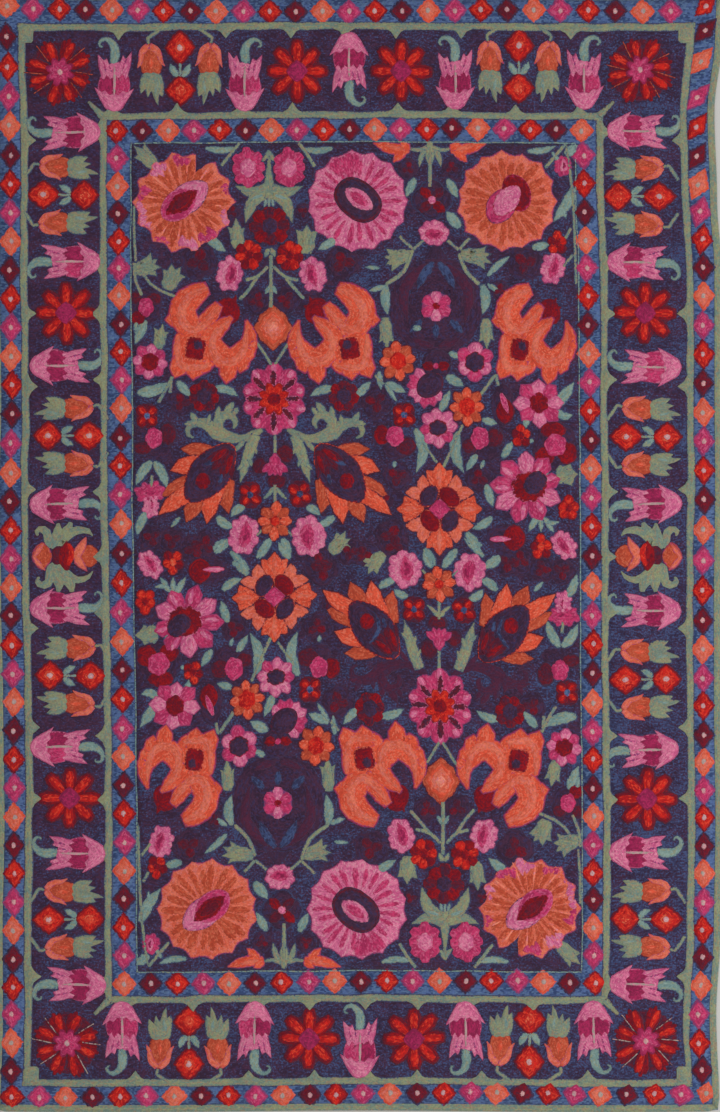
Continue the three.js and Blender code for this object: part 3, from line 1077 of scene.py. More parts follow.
def cornerStar(work, across, down, turn):
    spot = work, placed(across, down, turn)
    lens(spot, "maroon", lobed(31, 8, 0.10, 0), 0, 32)
    for k in range(8):
        angle = math.radians(45 * k + 22 + about(work, 5))
        long = 35 + about(work, 2.5)
        ribbon(spot, "maroon", spoke(angle, 8, 20, long - 4), [4.0, 7.4, 9.2, 6.5], 1, onto="dusk")
        ribbon(spot, "darkRed", spoke(angle, 8, 19, long - 7), [3.0, 5.6, 7.6, 6.0], 2, onto="maroon")
        for off in (-4.4, 0.4, 4.8):
            ribbon(spot, "darkRed", spoke(angle, (20, off * 0.5), (long - 8, off * 0.9),
                (long - abs(off) * 0.7, off)),
                   [2.0, 3.8, 1.4], 2, onto="maroon")
        ribbon(spot, "red", spoke(angle, 11, (21, -1.5), (long - 4, -3)), [0.8, 2.6, 3.8, 2.0], 3,
            onto="darkRed")
        if k % 4 != 1:
            ribbon(spot, "rust" if down < chart["middle"][1] else "ash",
                spoke(angle, (14, 5.6), (long - 1, 9.0)), 0.4, 4,
                   onto="maroon")
    lens(spot, "cerise", lobed(15, 8, 0.34, 22), 4, 32, onto="darkRed")
    lens(spot, "magenta", lobed(12, 8, 0.3, 22), 5, 32)
    lens(spot, "paleThread", oval(2.4, 2.8), 6, 8)


def borderStar(work, across, down):
    spot = work, placed(across, down, about(work, 2))
    lens(spot, "maroon", lobed(27, 8, 0.12, 90), 0, 32)
    lens(spot, "darkRed", lobed(23, 8, 0.1, 90), 1, 32)
    for k in range(8):
        angle = math.radians(45 * k + 90 + about(work, 2))
        long = 31 + about(work, 1.0)
        ribbon(spot, "darkRed", spoke(angle, 4, 18, long), [5.0, 7.0, 7.2, 4.6], 2, edge=("maroon", 1.2))
        ribbon(spot, "red", spoke(angle, 7, 18, long - 3), [2.4, 3.8, 4.4, 2.6], 3)
    lens(spot, "cerise", oval(10.5, 11.0, 1.3), 4, 20, onto="darkRed")


# The pink tulip, drawn in chart squares to the right and up from its middle, with its base down
tulip = {
    "cup": [(0, -29.5), (-6.5, -27), (-12, -19), (-18.5, -7.5), (-12.5, -12), (-8, -11), (-4, -15), (0, -14),
        (4, -15), (8, -11),
            (12.5, -12), (18.5, -8.5), (12, -19), (6.5, -27)],
    "body": [(0, -20), (-10, -16), (-15, -10), (-14.5, -3), (-12, 4), (-14.5, 12), (-16, 25), (-10.5, 19.5),
        (-7, 21), (-5, 15),
             (0, 19), (5, 17), (8, 24), (11, 21), (16.5, 28), (15, 14), (12.5, 6), (14, -2), (14.5, -10),
             (10, -16)],
    "sides": [[(-2, -15), (-8, -15), (-13.5, -11), (-14.5, -5), (-13.5, 3), (-10, 0), (-8, 5), (-4.5, 1),
        (-1.5, 3)],
              [(2, -15), (8, -15), (13.5, -11), (14.5, -4), (13.5, 4), (10.5, 1), (8.5, 6.5), (4.5, 2),
                  (1.5, 4)]],
    "streaks": ([(-8, 8), (-11, 20)], [(8, 10), (12, 23)], [(-3, 8), (-5, 17)]),
    "stem": ([(-1, 17), (0.5, 28), (-1.5, 36), (-8, 41.5), (-14, 40), (-15.5, 35.5), (-12, 34)],
        [3.6, 5.0, 4.8, 3.6, 2.4, 1.6, 0.8]),
}


def pinkTulip(work, across, down, turn, mirror):
    spot = work, placed(across + about(work, 0.5), down + about(work, 0.5), turn + about(work, 2), mirror)
    spine, widths = tulip["stem"]
    ribbon(spot, "greySage", spine, widths, 1, 18, edge=("navy", 0.9))
    patch(spot, "pink", tulip["body"], 1, (0, -1), edge=("mauve", 0.9))
    for outline in tulip["sides"]:
        patch(spot, "cerise" if about(work, 1) > -0.5 else "magenta", outline, 2, steps=2)
    for spine in tulip["streaks"]:
        ribbon(spot, "mauve", spine, [0.3, 1.0, 0.3], 2)
    patch(spot, "pink", tulip["cup"], 3, (0, -20), edge=("mauve", 0.6))
    ribbon(spot, "ash", [(0, -16), (0.4, 0), (0, 15)], [0.4, 1.2, 1.1, 0.3], 5, onto="pink")


# The orange tulips beside the red diamonds, drawn outwards and up from the stem's side
orangeTulip = {
    "offset": 28,
    "head": [(3, 25), (-6, 18), (-9, 9), (-8.5, -1), (-5, -5.5), (-1.5, -2.5), (1.5, -6.5), (5, -3),
        (8.5, -4), (10.5, 3), (10, 12)],
    "leaf": [(8, -5), (11.5, -13), (11, -24), (6.5, -19), (4.5, -27), (1, -21), (-2, -30), (-5.5, -35),
        (-6, -25), (-9.5, -27),
             (-10.5, -18), (-8, -6), (1, -3)],
    "stem": [(3, 25), (4, 31), (-1, 34.5), (-6, 38), (-11, 41)],
    "rims": ([(3.5, 24), (10, 17), (11.5, 8), (14.5, 1)], [(2.5, 24), (-6, 17.5), (-9, 8), (-13, 2.5)]),
}


def redDiamond(spot, middle, size, dotted):
    whole = oval(*size, 1.36, about(spot[0], 4))

    def shape(angle):
        return whole(angle) * (1 + 0.05 * math.cos(4 * angle) + 0.035 * math.cos(12 * angle))
    lens(spot, "darkRed", shape, 1, 24, edge=("maroon", 0.9), middle=middle)
    lens(spot, "red", lambda angle: 0.86 * shape(angle), 2, 24, middle=middle)
    lens(spot, "paleRed", oval(5.0, 6.2, 1.5), 3, 12, middle=middle)
    if dotted:
        lens(spot, "paleThread", oval(2.6, 3.1), 4, 8, middle=middle)


def orangeTulipBeside(spot, side):
    def at(points):
        return [(side * (orangeTulip["offset"] + out), up) for out, up in points]
    patch(spot, "sage", at(orangeTulip["leaf"]), 1, middle=at([(1, -14)])[0], edge=("navy", 1.0))
    ribbon(spot, "greySage", at([(-5, -12), (-3, -24)]), [1.0, 1.8, 0.6], 2)
    ribbon(spot, "sage", at(orangeTulip["stem"]), [1.4, 1.7, 1.9, 1.7, 1.6], 1, 12, edge=("navy", 0.9))
    patch(spot, "rust", at(orangeTulip["head"]), 1, at([(0, 9)])[0], edge=("maroon", 0.9))
    for rim in orangeTulip["rims"]:
        ribbon(spot, "coral", at(rim), [3.0, 3.6, 2.8, 2.2, 0.5], 2, 12, onto="mauve")
    ribbon(spot, "orange", at([(1, 0), (1, 12)]), [1.0, 2.6, 0.8], 2)


def tulipGroup(work, across, down, turn, size, dotted):
    spot = work, placed(across + about(work, 0.5), down + about(work, 0.5), turn + about(work, 1),
        about(work, 1) > 0, size)
    both(lambda side: orangeTulipBeside(spot, side))
    redDiamond(spot, (0, 21), (14, 16.5), True)
    redDiamond(spot, (0, -21.5), (14.5, 14.5), dotted)
    ribbon(spot, "greySage", [(0, 6), (0, -8)], 1.4, 1)
    both(lambda side: ribbon(spot, "greySage", [(side * 1, -8), (side * 6, -3), (side * 10, 5)],
        [1.4, 3.6, 3.4, 0.4], 1,
                             edge=("navy", 1.0)))


# The medallion half way down each side, in places of the chart at the left side
medallion = {
    "coral": [([(33, 558), (38, 551), (44, 543)], [1.4, 2.4, 0.6]),
        ([(33, 556), (38, 563), (45, 570)], [1.4, 2.4, 0.6]),
              ([(86, 537), (82, 546), (76, 556), (80, 563), (87, 571)], [0.4, 3.6, 5.0, 4.4, 3.2, 0.5])],
    "scrolls": [
        ([(51, 548), (48, 540), (47, 533), (42, 529), (37, 531), (38, 536)], [2, 4.2, 4.6, 4, 3, 1]),
        ([(52, 549), (56, 540), (58, 531), (58, 523)], [3, 6.4, 5, 1.6]),
        ([(54, 548), (63, 538), (68, 530), (71, 522)], [3, 6.5, 6, 2]),
        ([(54, 547), (64, 538), (74, 531), (82, 530), (88, 531), (93, 536)], [3, 5.5, 5.2, 4.2, 3.2, 0.5]),
        ([(50, 565), (50, 575), (48, 583), (41, 585), (37, 580), (40, 577)], [3, 4.5, 4.6, 4, 3, 1]),
        ([(51, 563), (56, 574), (59, 583), (58, 592)], [3, 6.4, 5.5, 2]),
        ([(55, 565), (64, 576), (70, 583), (72, 592)], [3, 6.5, 6, 2.4]),
        ([(53, 563), (62, 570), (72, 578), (80, 580), (88, 577), (93, 571)], [3, 5, 4.8, 3.6, 2.6, 0.5]),
    ],
}


def sideMedallion(work, mirrored):
    spot = work, onField(0, mirrored)
    for spine, widths in medallion["scrolls"]:
        ribbon(spot, "sage", spine, widths, 0, 12, edge=("navy", 1.3))
    for spine, widths in medallion["scrolls"]:
        ribbon(spot, "sage", spine, widths, 1, 12)
    lens(spot, "maroon", oval(9, 10.5), 1, 20, middle=(60, 556), edge=("plum", 1.0))
    leaf(spot, "darkRed", (67, 571), (67, 540), 7.0, 2.0, 2, ("maroon", 0.8), 0.3)
    ribbon(spot, "red", [(68, 543), (72, 553), (68, 566)], [1.5, 3.0, 3.0, 1.5], 3)
    lens(spot, "rust", oval(9.5, 13, 1.5), 2, 24, middle=(42, 556), edge=("mauve", 0.8))
    lens(spot, "rust", oval(10, 11, 1.6), 1, 24, middle=(89, 556), edge=("maroon", 1.0))
    for spine, widths in medallion["coral"]:
        ribbon(spot, "coral", spine, widths, 3, 10, edge=("mauve", 0.6))


starWork = newWork("borderStars")
for across, down, turn in border["cornerStars"]:
    cornerStar(starWork, across, down, turn)
for across, down in border["stars"]:
    borderStar(starWork, across, down)
finishWork(starWork)
tulipWork = newWork("pinkTulips")
for across, down, turn, mirror in border["tulips"]:
    pinkTulip(tulipWork, across, down, turn, mirror)
finishWork(tulipWork)
groupWork = newWork("tulipGroups")
for across, down, turn, size, dotted in border["groups"]:
    tulipGroup(groupWork, across, down, turn, size, dotted)
sideMedallion(groupWork, None)
sideMedallion(groupWork, chart["fieldMiddle"][0])
finishWork(groupWork)
print("border worked")


# Motifs of the field, in places of the chart. Each is worked once in the upper half and once, turned
# half round, in the lower half.

# Rosettes: a ragged round of rays, with a few wedges of other dyes at the rim
rosettes = {
    "variegated": {
        "middle": (184, 202), "reach": 51, "tips": 14, "ragged": 0.12, "notch": (68, 15), "yarn": "coral",
        "ray": "rust", "rays": 24, "rayHalf": 3.6, "near": 16, "far": 0.92, "pale": "peach",
        # direction, how far in, and half-width of each wedge
        "wedges": {
            "magenta": [(17, 41, 7.0), (93, 37, 11.0), (168, 36, 10.0), (241, 39, 10.0), (304, 35, 12.0)],
            "pink": [(128, 34, 12.0), (193, 38, 13.0), (212, 40, 8.0), (275, 36, 12.0), (340, 41, 9.0)],
        },
    },
    "pink": {
        "middle": (357, 201), "reach": 50, "tips": 15, "ragged": 0.07, "notch": None, "yarn": "pink",
        "ray": "magenta", "rays": 21, "rayHalf": 2.9, "near": 21, "far": 0.88, "pale": None,
        "wedges": {"magenta": [(100, 25, 12.0), (118, 26, 10.0)]},
    },
    "orange": {
        "middle": (507, 201), "reach": 50, "tips": 15, "ragged": 0.08, "notch": None, "yarn": "coral",
        "ray": "rust", "rays": 22, "rayHalf": 4.2, "near": 15, "far": 0.91, "pale": None, "wedges": {},
    },
}


def rosette(work, name, half):
    made = rosettes[name]
    spot = work, placed(*made["middle"], half=half)

    def reach(angle):
        out = made["reach"] * (1 - made["ragged"] * abs(math.sin(made["tips"] * angle / 2)))
        place = Vector((2.1 * math.cos(angle), 2.1 * math.sin(angle), made["middle"][0] + half))
        out += 2.2 * noise.noise(place)
        if made["notch"]:
            direction, depth = made["notch"]
            out -= depth * math.exp(-((math.degrees(angle) % 360 - direction) / 6) ** 2)
        return out
    lens(spot, made["yarn"], reach, 1, 90, rings=8, grain="spokes", edge=("mauve", 1.0))
    for k in range(made["rays"]):
        angle = 2 * math.pi * k / made["rays"] + math.radians(about(work, 2.5))
        near, far = made["near"] + about(work, 2.5), reach(angle) * (made["far"] + about(work, 0.04))
        width = made["rayHalf"] * (1 + about(work, 0.2))
        ribbon(spot, made["ray"], spoke(angle, near, ((near + far) / 2, about(work, 1.0)), far),
               [width * 0.4, width * 0.7, width * 1.05, width * 0.5], 2)
        if made["pale"] and k % 2:
            aside = math.radians(180 / made["rays"])
            ribbon(spot, made["pale"], spoke(angle + aside, near + 12, far), [0.3, 0.9, 0.9, 0.3], 2)
    for yarn, wedges in made["wedges"].items():
        for direction, near, width in wedges:
            angle = math.radians(direction)
            for off in (-0.55, 0.0, 0.55):
                turned = angle + off * width / made["reach"]
                inner, outer = near + about(work, 4.0), reach(turned) - 0.5
                ribbon(spot, yarn, spoke(turned, inner, (inner + outer) / 2, outer),
                       [0.4, width * 0.28, width * 0.42, width * 0.3], 3, onto=made["yarn"])


# The hearts of the rosettes: almonds over each other, each with its dye, middle, half length, half width,
# roundness and turn
rosetteHearts = {
    "variegated": [("pink", (4, 4), 24, 14.5, 1.7, 38), ("magenta", (-5.5, -3), 20, 14, 1.8, 40),
                   ("darkRed", (-2.5, -0.5), 20, 9.0, 1.35, 38), ("wine", (-3, -0.5), 12, 4.6, 1.4, 37)],
    "pink": [("maroon", (1, 1), 25, 18.5, 2.4, -40), ("plum", (1, 1.5), 22.5, 16, 2.4, -39),
             ("pink", (2, 2), 16.5, 8.5, 1.7, -36), ("magenta", (2, 2), 11, 4.4, 1.8, -37)],
    "orange": [("magenta", (-6, -5), 19, 14, 1.8, 60), ("darkRed", (9.5, 8), 19, 13.5, 1.9, -68),
               ("pink", (0, 0.5), 18, 11, 1.7, 50)],
}


def rosetteHeart(work, name, half, heart):
    spot = work, placed(*rosettes[name]["middle"], half=half)
    for layer, (yarn, middle, long, wide, roundness, turn) in enumerate(rosetteHearts[heart], start=4):
        lens(spot, yarn, oval(long, wide, roundness, turn), layer, 28, middle=middle)


# The great palmette: hooks and pointed feet round a dark square, and a dark tulip tip under its shoulder
palmette = {
    "middle": 272.5, "inner": 165,
    "hooks": [
        ([(208, 288), (196, 294), (184, 305), (184, 319), (196, 331)], [7.0, 11.0, 14.0, 14.5, 14.0, 11.0]),
        ([(196, 333), (208, 319), (219, 304)], [13.0, 9.0, 8.0, 5.0]),
        ([(204, 343), (218, 329), (232, 317)], [12.0, 10.0, 7.5, 2.5]),
        ([(246, 320), (250, 337), (243, 353), (229, 360), (216, 351), (210, 338)],
            [1.5, 7.0, 12.0, 13.0, 12.0, 10.0]),
    ],
    "body": (194.5, 351, 21, 23),
    # base, tip and half-width of each point
    "feet": [((184, 318), (165, 320), 9), ((184, 356), (174, 378), 10), ((196, 358), (193, 380), 11),
        ((230, 358), (226, 384), 10),
             ((242, 356), (240, 373), 9), ((250, 343), (257, 348), 6)],
    "bands": [
        ([(208, 288), (190, 296), (181, 312), (187, 328), (200, 328), (219, 307)],
            [1.8, 4.4, 5.0, 5.0, 4.6, 3.6, 1.4]),
        ([(230, 320), (214, 336), (214, 354), (228, 363), (243, 353), (247, 326)],
            [1.4, 3.4, 4.2, 4.8, 4.6, 3.2, 1.0]),
        ([(178, 334), (178, 352), (184, 367), (208, 366)], [2.0, 3.2, 4.2, 4.0, 2.0]),
    ],
}


def greatPalmette(work, half, mirrored=None, shift=(0, 0), squeeze=1.0):
    spread = onField(half, mirrored, shift)

    def where(across, down):  # the outermost one is drawn in towards its inner side
        return spread(palmette["inner"] + (across - palmette["inner"]) * squeeze, down)
    spot = work, where
    lens(spot, "darkRed", oval(11, 13, 2.4, -20), 0, 20, middle=(228, 311), edge=("maroon", 1.2))
    fanLeaf(spot, "darkRed", (224, 322), (236, 296), 9, 3, 0, None)
    for spine, widths in palmette["hooks"]:
        ribbon(spot, "orange", spine, widths, 2, 14, edge=("mauve", 1.2))
    for base, tip, wide in palmette["feet"]:
        leaf(spot, "orange", base, tip, wide, 0.0, 2, ("mauve", 1.2), 1.0)
    across, down, wide, tall = palmette["body"]
    lens(spot, "orange", oval(wide, tall, 2.8), 2, 28, rings=6, middle=(across, down), edge=("mauve", 1.2))
    for spine, widths in palmette["bands"]:
        ribbon(spot, "coral", spine, widths, 3, 20)
    lens(spot, "darkRed", oval(9.5, 10.5, 5.0, 10), 5, 32, middle=(195.5, 348.5))
    lens(spot, "plum", oval(4.2, 4.6, 3.0), 6, 8, middle=(198, 345))


# The pods: a dark almond with a fringe of pointed leaves, each given by its base, tip and half-width
pod = {
    "middle": 275,
    "leaves": [("rust", (216, 456), (180, 449), 8.5), ("rust", (198, 480), (161, 497), 8.5),
        ("rust", (206, 492), (186, 523), 9.5),
               ("rust", (228, 478), (229, 514), 8.5), ("orange", (206, 464), (170, 471), 10.0),
               ("orange", (200, 488), (158, 515), 9.0),
               ("orange", (219, 484), (207, 524), 9.5)],
    "almond": {"at": (210, 473), "long": 36, "wide": 19.5, "roundness": 1.6, "turn": 51},
}


def darkPod(work, half, mirrored=None):
    spot = work, onField(half, mirrored)
    for yarn, base, tip, wide in pod["leaves"]:
        leaf(spot, yarn, base, tip, wide, -2.5, 2 if yarn == "orange" else 1, ("maroon", 0.9), 0.9)
    almond = pod["almond"]
    # down the chart is against the turn
    outline = oval(almond["long"], almond["wide"], almond["roundness"], -almond["turn"])
    lens(spot, "plum", outline, 4, 32, rings=6, middle=almond["at"], edge=("darkRed", 0.9))
    for tip, wide in (((206, 460), 5.0), ((211, 471), 6.0), ((221, 480), 5.6), ((232, 480), 4.6)):
        leaf(spot, "maroon", (229, 450), tip, wide, 0.0, 5, None, 1.2)
    leaf(spot, "darkRed", (227, 449), (211, 462), 3.2, 0.0, 6, None)
    leaf(spot, "darkRed", (232, 455), (226, 474), 3.0, 0.0, 6, None)
    for base, tip, bend in (((222, 474), (219, 485), 0.0),
            ((204, 465), (217, 460), 0.0) if not half else ((205, 458), (210, 491), 8.0)):
        leaf(spot, "navy", base, tip, 2.4, bend, 5, None)
    lens(spot, "darkRed", oval(7.0, 8.0), 5, 14, middle=(203, 481))


# The scroll beside the magenta rosette: sage in the upper half, and almost as dark as the ground in the lower
scroll = {
    "middle": 275,
    "bands": [
        ([(263, 429), (243, 438.5), (222, 435), (208, 425)] + curl((195, 432), 10, 6, 75, 190, 4),
            [2.4, 4.4, 4.2, 6.4, 8.4, 6.4, 4.6, 3.0, 1.0]),
        (curl((228, 424), 11, 7, 215, -255, 6), [5.0, 5.6, 6.0, 4.6, 3.6, 3.0, 1.2]),
    ],
    "feathers": [((217, 420), (219, 406), 3.4), ((225, 414), (234, 402), 4.2), ((233, 415), (238, 407), 3.0),
        ((198, 422), (184, 424), 3.6),
                 ((197, 424), (191, 412), 3.6), ((207, 427), (210, 414), 2.8), ((245, 440), (234, 452), 2.8)],
    "leaf": ([(256, 434), (248, 455), (240, 483)], [5.4, 6.0, 5.0, 0.6]),
    "leafPoints": [((252, 444), (257, 454), 2.6), ((248, 456), (252, 467), 2.6),
        ((246, 462), (237, 470), 2.4)],
}


def fieldScroll(work, dark, half, mirrored=None):
    where = onField(half, mirrored)
    spot = work, where
    for spine, widths in scroll["bands"]:
        if half:
            ribbon((dark, where), "vaseRed", spine, widths, 0, 16)
        else:
            ribbon(spot, "sage", spine, widths, 1, 18, edge=("navy", 1.3))
    for base, tip, wide in scroll["feathers"]:
        if half:
            leaf((dark, where), "vaseRed", base, tip, wide, 0.0, 0, None)
        else:
            leaf(spot, "sage", base, tip, wide)
    ribbon(spot, "sage", *scroll["leaf"], 1, 12, edge=("navy", 1.2))
    for base, tip, wide in scroll["leafPoints"]:
        leaf(spot, "sage", base, tip, wide)


# The cross flower: a three-pointed petal each way, a forked one between them, and four dark beans
crossMade = {"middle": (439.5, 509), "beans": [("darkRed", 10, 12, -44), ("plum", -10.5, 13, 57),
                                                                      ("darkRed", -9.5, -12, -55),
                                                                      ("plum", 10.5, -12, 63)]}


def crossFlower(work, half):
    spot = work, placed(*crossMade["middle"], half=half)
    lens(spot, "maroon", oval(23, 24, 3.0), 0, 24)
    for k in range(4):
        angle = math.pi / 2 * k
        far = 43 if k % 2 == 0 else 47
        both(lambda side: ribbon(spot, "orange", spoke(angle, 22, (30, side * 5), (far - 8, side * 13)),
                                 [6.0, 7.4, 6.0, 1.0], 1, edge=("maroon", 0.8)))
        ribbon(spot, "orange", spoke(angle, 15, 28, far), [2.0, 8.4, 8.2, 1.2], 1, edge=("maroon", 0.8))
        ribbon(spot, "coral", spoke(angle, 21, far - 5), [0.6, 2.8, 2.8, 0.8], 2)
        between = angle + math.pi / 4
        both(lambda side: ribbon(spot, "coral", spoke(between, 19, (29, side * 6), (36, side * 12.5)),
                                 [5.4, 7.4, 6.2, 1.2], 1, edge=("maroon", 0.8)))
    for yarn, right, up, turn in crossMade["beans"]:
        lens(spot, yarn, oval(11.5, 7.8, 1.8, turn), 3, 20, middle=(right, up), edge=("darkRed", 0.8))
    lens(spot, "magenta", oval(10.5, 10.5, 1.05), 4, 16)


def aster(work, half):  # a ragged round of pink and magenta petals round a dark eye
    spot = work, placed(527, 487, half=half)
    lens(spot, "magenta", lobed(25, 9, 0.2, 20), 1, 36, edge=("mauve", 1.0))
    petalRing(spot, ("magenta", "pink", "magenta"), 9, 12, 36, 8.4, 2, 55, 1.02, 0.12, edge=("mauve", 0.9))
    petalRing(spot, "pink", 9, 17, 32, 2.6, 4, 60, 1.02, 0.3)
    lens(spot, "darkRed", lobed(18, 9, 0.14, 10, 15.5), 5, 36, middle=(2, 0))
    lens(spot, "plum", oval(12.5, 9.5, 2.4, 45), 6, 16, middle=(8, 4))


def magentaRosette(work, half):
    spot = work, placed(274, 399, half=half)
    lens(spot, "magenta", lobed(31, 10, 0.16, 90, tall=35.5), 1, 60, rings=6, grain="spokes",
        edge=("mauve", 1.2))
    petalRing(spot, "pink", 10, 23, 31.5, 3.2, 2, 90, 1.13, 0.6)
    petalRing(spot, "maroon", 8, 12, 28, 3.2, 3, 90, 1.1, 0.25)
    lens(spot, "red", lobed(15.5, 8, 0.34, 22, tall=17), 4, 32, edge=("darkRed", 0.8))
    lens(spot, "darkRed", oval(6.5, 6.5), 5, 12)


# The vase: an onion-shaped dark ground between two stems, softly banded, with a small flower on it
vase = {
    "middle": (436, 306), "size": (46, 48), "neck": (26, 66),
    # dye, right and up of both ends, half-width and bend of each band, worked on both sides
    "bands": [("vaseRed", (10, 42), (28, -18), 6.0, 14), ("vaseRed", (2, -40), (24, -32), 4.2, -2),
        ("navy", (2, 44), (19, 16), 5.2, 2),
              ("navy", (14, -14), (27, -27), 4.4, 0), ("navy", (0, -18), (1, -32), 3.4, 0)],
}


def vaseGround(work, half):
    spot = work, placed(*vase["middle"], half=half)
    wide, tall = vase["size"]
    halfNeck, top = vase["neck"]
    ribbon(spot, "plum", [(0, 10), (0, 40), (0, top)], [wide * 0.8, halfNeck, halfNeck * 0.5, 1.0], 0,
        edge=("navy", 1.4))
    lens(spot, "plum", oval(wide, tall, 2.2), 0, 40, rings=8, edge=("navy", 1.4))
    for yarn, near, far, width, bend in vase["bands"]:
        both(lambda side: leaf(spot, yarn, (side * near[0], near[1]), (side * far[0], far[1]), width,
            -side * bend, 1, None))
    if not half:
        lens(spot, "greySage", oval(4.4, 2.8, 2, -10), 2, 8, middle=(-19, -22))
    lens(spot, "mauve", lobed(15.0, 6, 0.1, 30), 2, 24)
    petalRing(spot, ("magenta", "pink", "magenta"), 6, 2, 15.5, 5.6, 3, 30, 1.0, 0.7)
    lens(spot, "darkRed", oval(3.6, 3.2), 4, 8)


# Round flowers: middle, half width and height, petals, their dyes by turns, the dye and half size of the
# heart, the dye of the edge, and how blunt the petals are
roundFlowers = [
    ((248, 168), (16.5, 20.5), 8, ("magenta",), ("pink", 8, 9.5), "plum", 0.7),
    ((289, 168), (16.5, 20.5), 8, ("magenta",), ("pink", 8, 9.5), "plum", 0.7),
    ((270, 226), (20, 20), 8, ("maroon", "darkRed"), ("plum", 8, 8.5), "plum", 0.7),
    ((204, 396), (15, 16), 7, ("maroon", "darkRed"), ("plum", 7.5, 8), "plum", 0.7),
    ((344, 396), (15, 16), 7, ("maroon", "darkRed"), ("plum", 7.5, 8), "plum", 0.7),
    ((249, 255), (13.5, 15.5), 7, ("red", "darkRed"), ("darkRed", 4, 5), "maroon", 0.7),
    ((290, 256), (13.5, 15.5), 7, ("red", "darkRed"), ("darkRed", 4, 5), "maroon", 0.7),
    ((398, 361), (18, 20), 8, ("orange", "rust"), ("red", 8.5, 9), "maroon", 0.35),
    ((467, 407), (17, 20.5), 8, ("orange", "rust"), ("red", 8.5, 10), "maroon", 0.35),
    ((275, 521), (17, 19.5), 8, ("orange", "rust"), ("red", 4.5, 5), "maroon", 0.3),
    ((150, 362), (18, 18), 8, ("pink", "magenta"), ("darkRed", 9, 9), "mauve", 0.35),
    ((475, 362), (18, 20), 6, ("pink", "magenta"), ("plum", 9.5, 9.5), "mauve", 0.45),
    ((438, 428), (18.5, 20.5), 8, ("pink", "pink", "magenta"), ("plum", 9, 7.5), "mauve", 0.35),
    ((539, 403), (26, 25), 8, ("pink", "magenta"), ("darkRed", 9.5, 10.5), "mauve", 0.05),
    ((521, 436), (9.5, 12), 5, ("red", "darkRed"), ("darkRed", 3, 4), "maroon", 0.4),
    ((568.5, 508), (9.5, 13), 5, ("red",), ("darkRed", 3, 4), "darkRed", 0.4),
    ((541, 547), (10, 13.5), 5, ("red", "darkRed"), ("paleRed", 3, 4), "maroon", 0.4),
    ((557, 243), (9.5, 12), 5, ("red", "darkRed"), ("darkRed", 3, 3), "maroon", 0.4),
]


def roundFlower(work, half, middle, size, count, petals, heart, edge, blunt):
    turn = 90 + about(work, 8)
    spot = work, placed(*middle, half=half)
    wide, tall = size
    base = 0.62 if blunt < 0.2 else (0.8 if blunt < 0.5 else 0.94)
    lens(spot, petals[-1], lobed(wide * base, count, 0.12, turn, tall * base), 1, count * 4, edge=(edge, 1.1))
    petalRing(spot, petals, count, wide * 0.25, wide, 2.45 * min(wide, tall) / count, 2, turn, tall / wide,
        blunt,
              edge=(edge, 0.8) if blunt < 0.5 else None)
    yarn, wideHeart, tallHeart = heart
    lens(spot, yarn, lobed(wideHeart, min(count, 6), 0.16, turn, tallHeart), 4, 24,
         edge=("darkRed", 0.8) if yarn == "plum" and petals[0] == "pink" else None)


# Dark four-petalled flower under the fan, and the dark flower that a pink crescent holds
def darkCross(work, half):
    spot = work, placed(432, 200, half=half)
    lens(spot, "plum", lobed(20, 4, 0.2, 0), 1, 24, edge=("navy", 1.0))
    petalRing(spot, ("maroon", "darkRed"), 4, 2, 17, 5.2, 2, 45, 1.0, 0.3)
    lens(spot, "pink", oval(3.8, 3.8), 4, 10)


def crescentFlower(work, half):
    spot = work, onField(half)
    crescent = work, placed(427, 386, half=half)
    for k, direction in enumerate((122, 150, 178, 206, 234, 262, 290, 316)):
        angle = math.radians(direction)
        tip = ray(angle, 21 + about(work, 1.0))
        yarn = "pink" if k in (0, 3, 4, 7) else "magenta"
        leaf(crescent, yarn, ray(angle, 7), tip, 6.2, 0.0, 1, ("mauve", 0.9), 0.8)
    lens(spot, "plum", oval(14.5, 11, 1.8, -40), 3, 20, middle=(430, 385), edge=("maroon", 0.6))
    lens(spot, "plum", oval(14, 14, 2.2), 2, 20, middle=(437, 364), onto="dusk")
    both(lambda side: leaf(spot, "darkRed", (436 + side * 2, 367), (436 + side * 14, 365), 5.4, 0.0, 4, None))
    lens(spot, "magenta", oval(2.8, 2.8), 5, 8, middle=(436, 366))


def wingedLeaf(work, half):  # a stem that opens into two drooping wings between the pink rounds
    spot = work, placed(269, 192, half=half)
    edge = ("navy", 1.2)
    ribbon(spot, "sage", [(0, 42), (0, 26), (0, 10), (0, -8)], [1.6, 2.0, 5.4, 6.0], 1, edge=edge)

    def wing(side):
        leaf(spot, "sage", (0, 42), (side * 8, 30), 2.4, side * 1.5)
        ribbon(spot, "sage", [(0, 4), (side * 14, -1), (side * 34, 6)], [7.0, 7.0, 4.8, 0.5], 1, edge=edge)
        ribbon(spot, "sage", [(side * 2, 0), (side * 16, -9), (side * 23.5, -31)], [6.5, 7.0, 5.4, 0.5], 1,
            edge=edge)
        leaf(spot, "greySage", (side * 3, -6), (side * 4.5, -15), 1.8)
        leaf(spot, "greySage", (side * 6, -3), (side * 18, -7), 1.6, 0.0, 2, None)
    both(wing)
    leaf(spot, "greySage", (0, -4), (0, -16), 1.8)


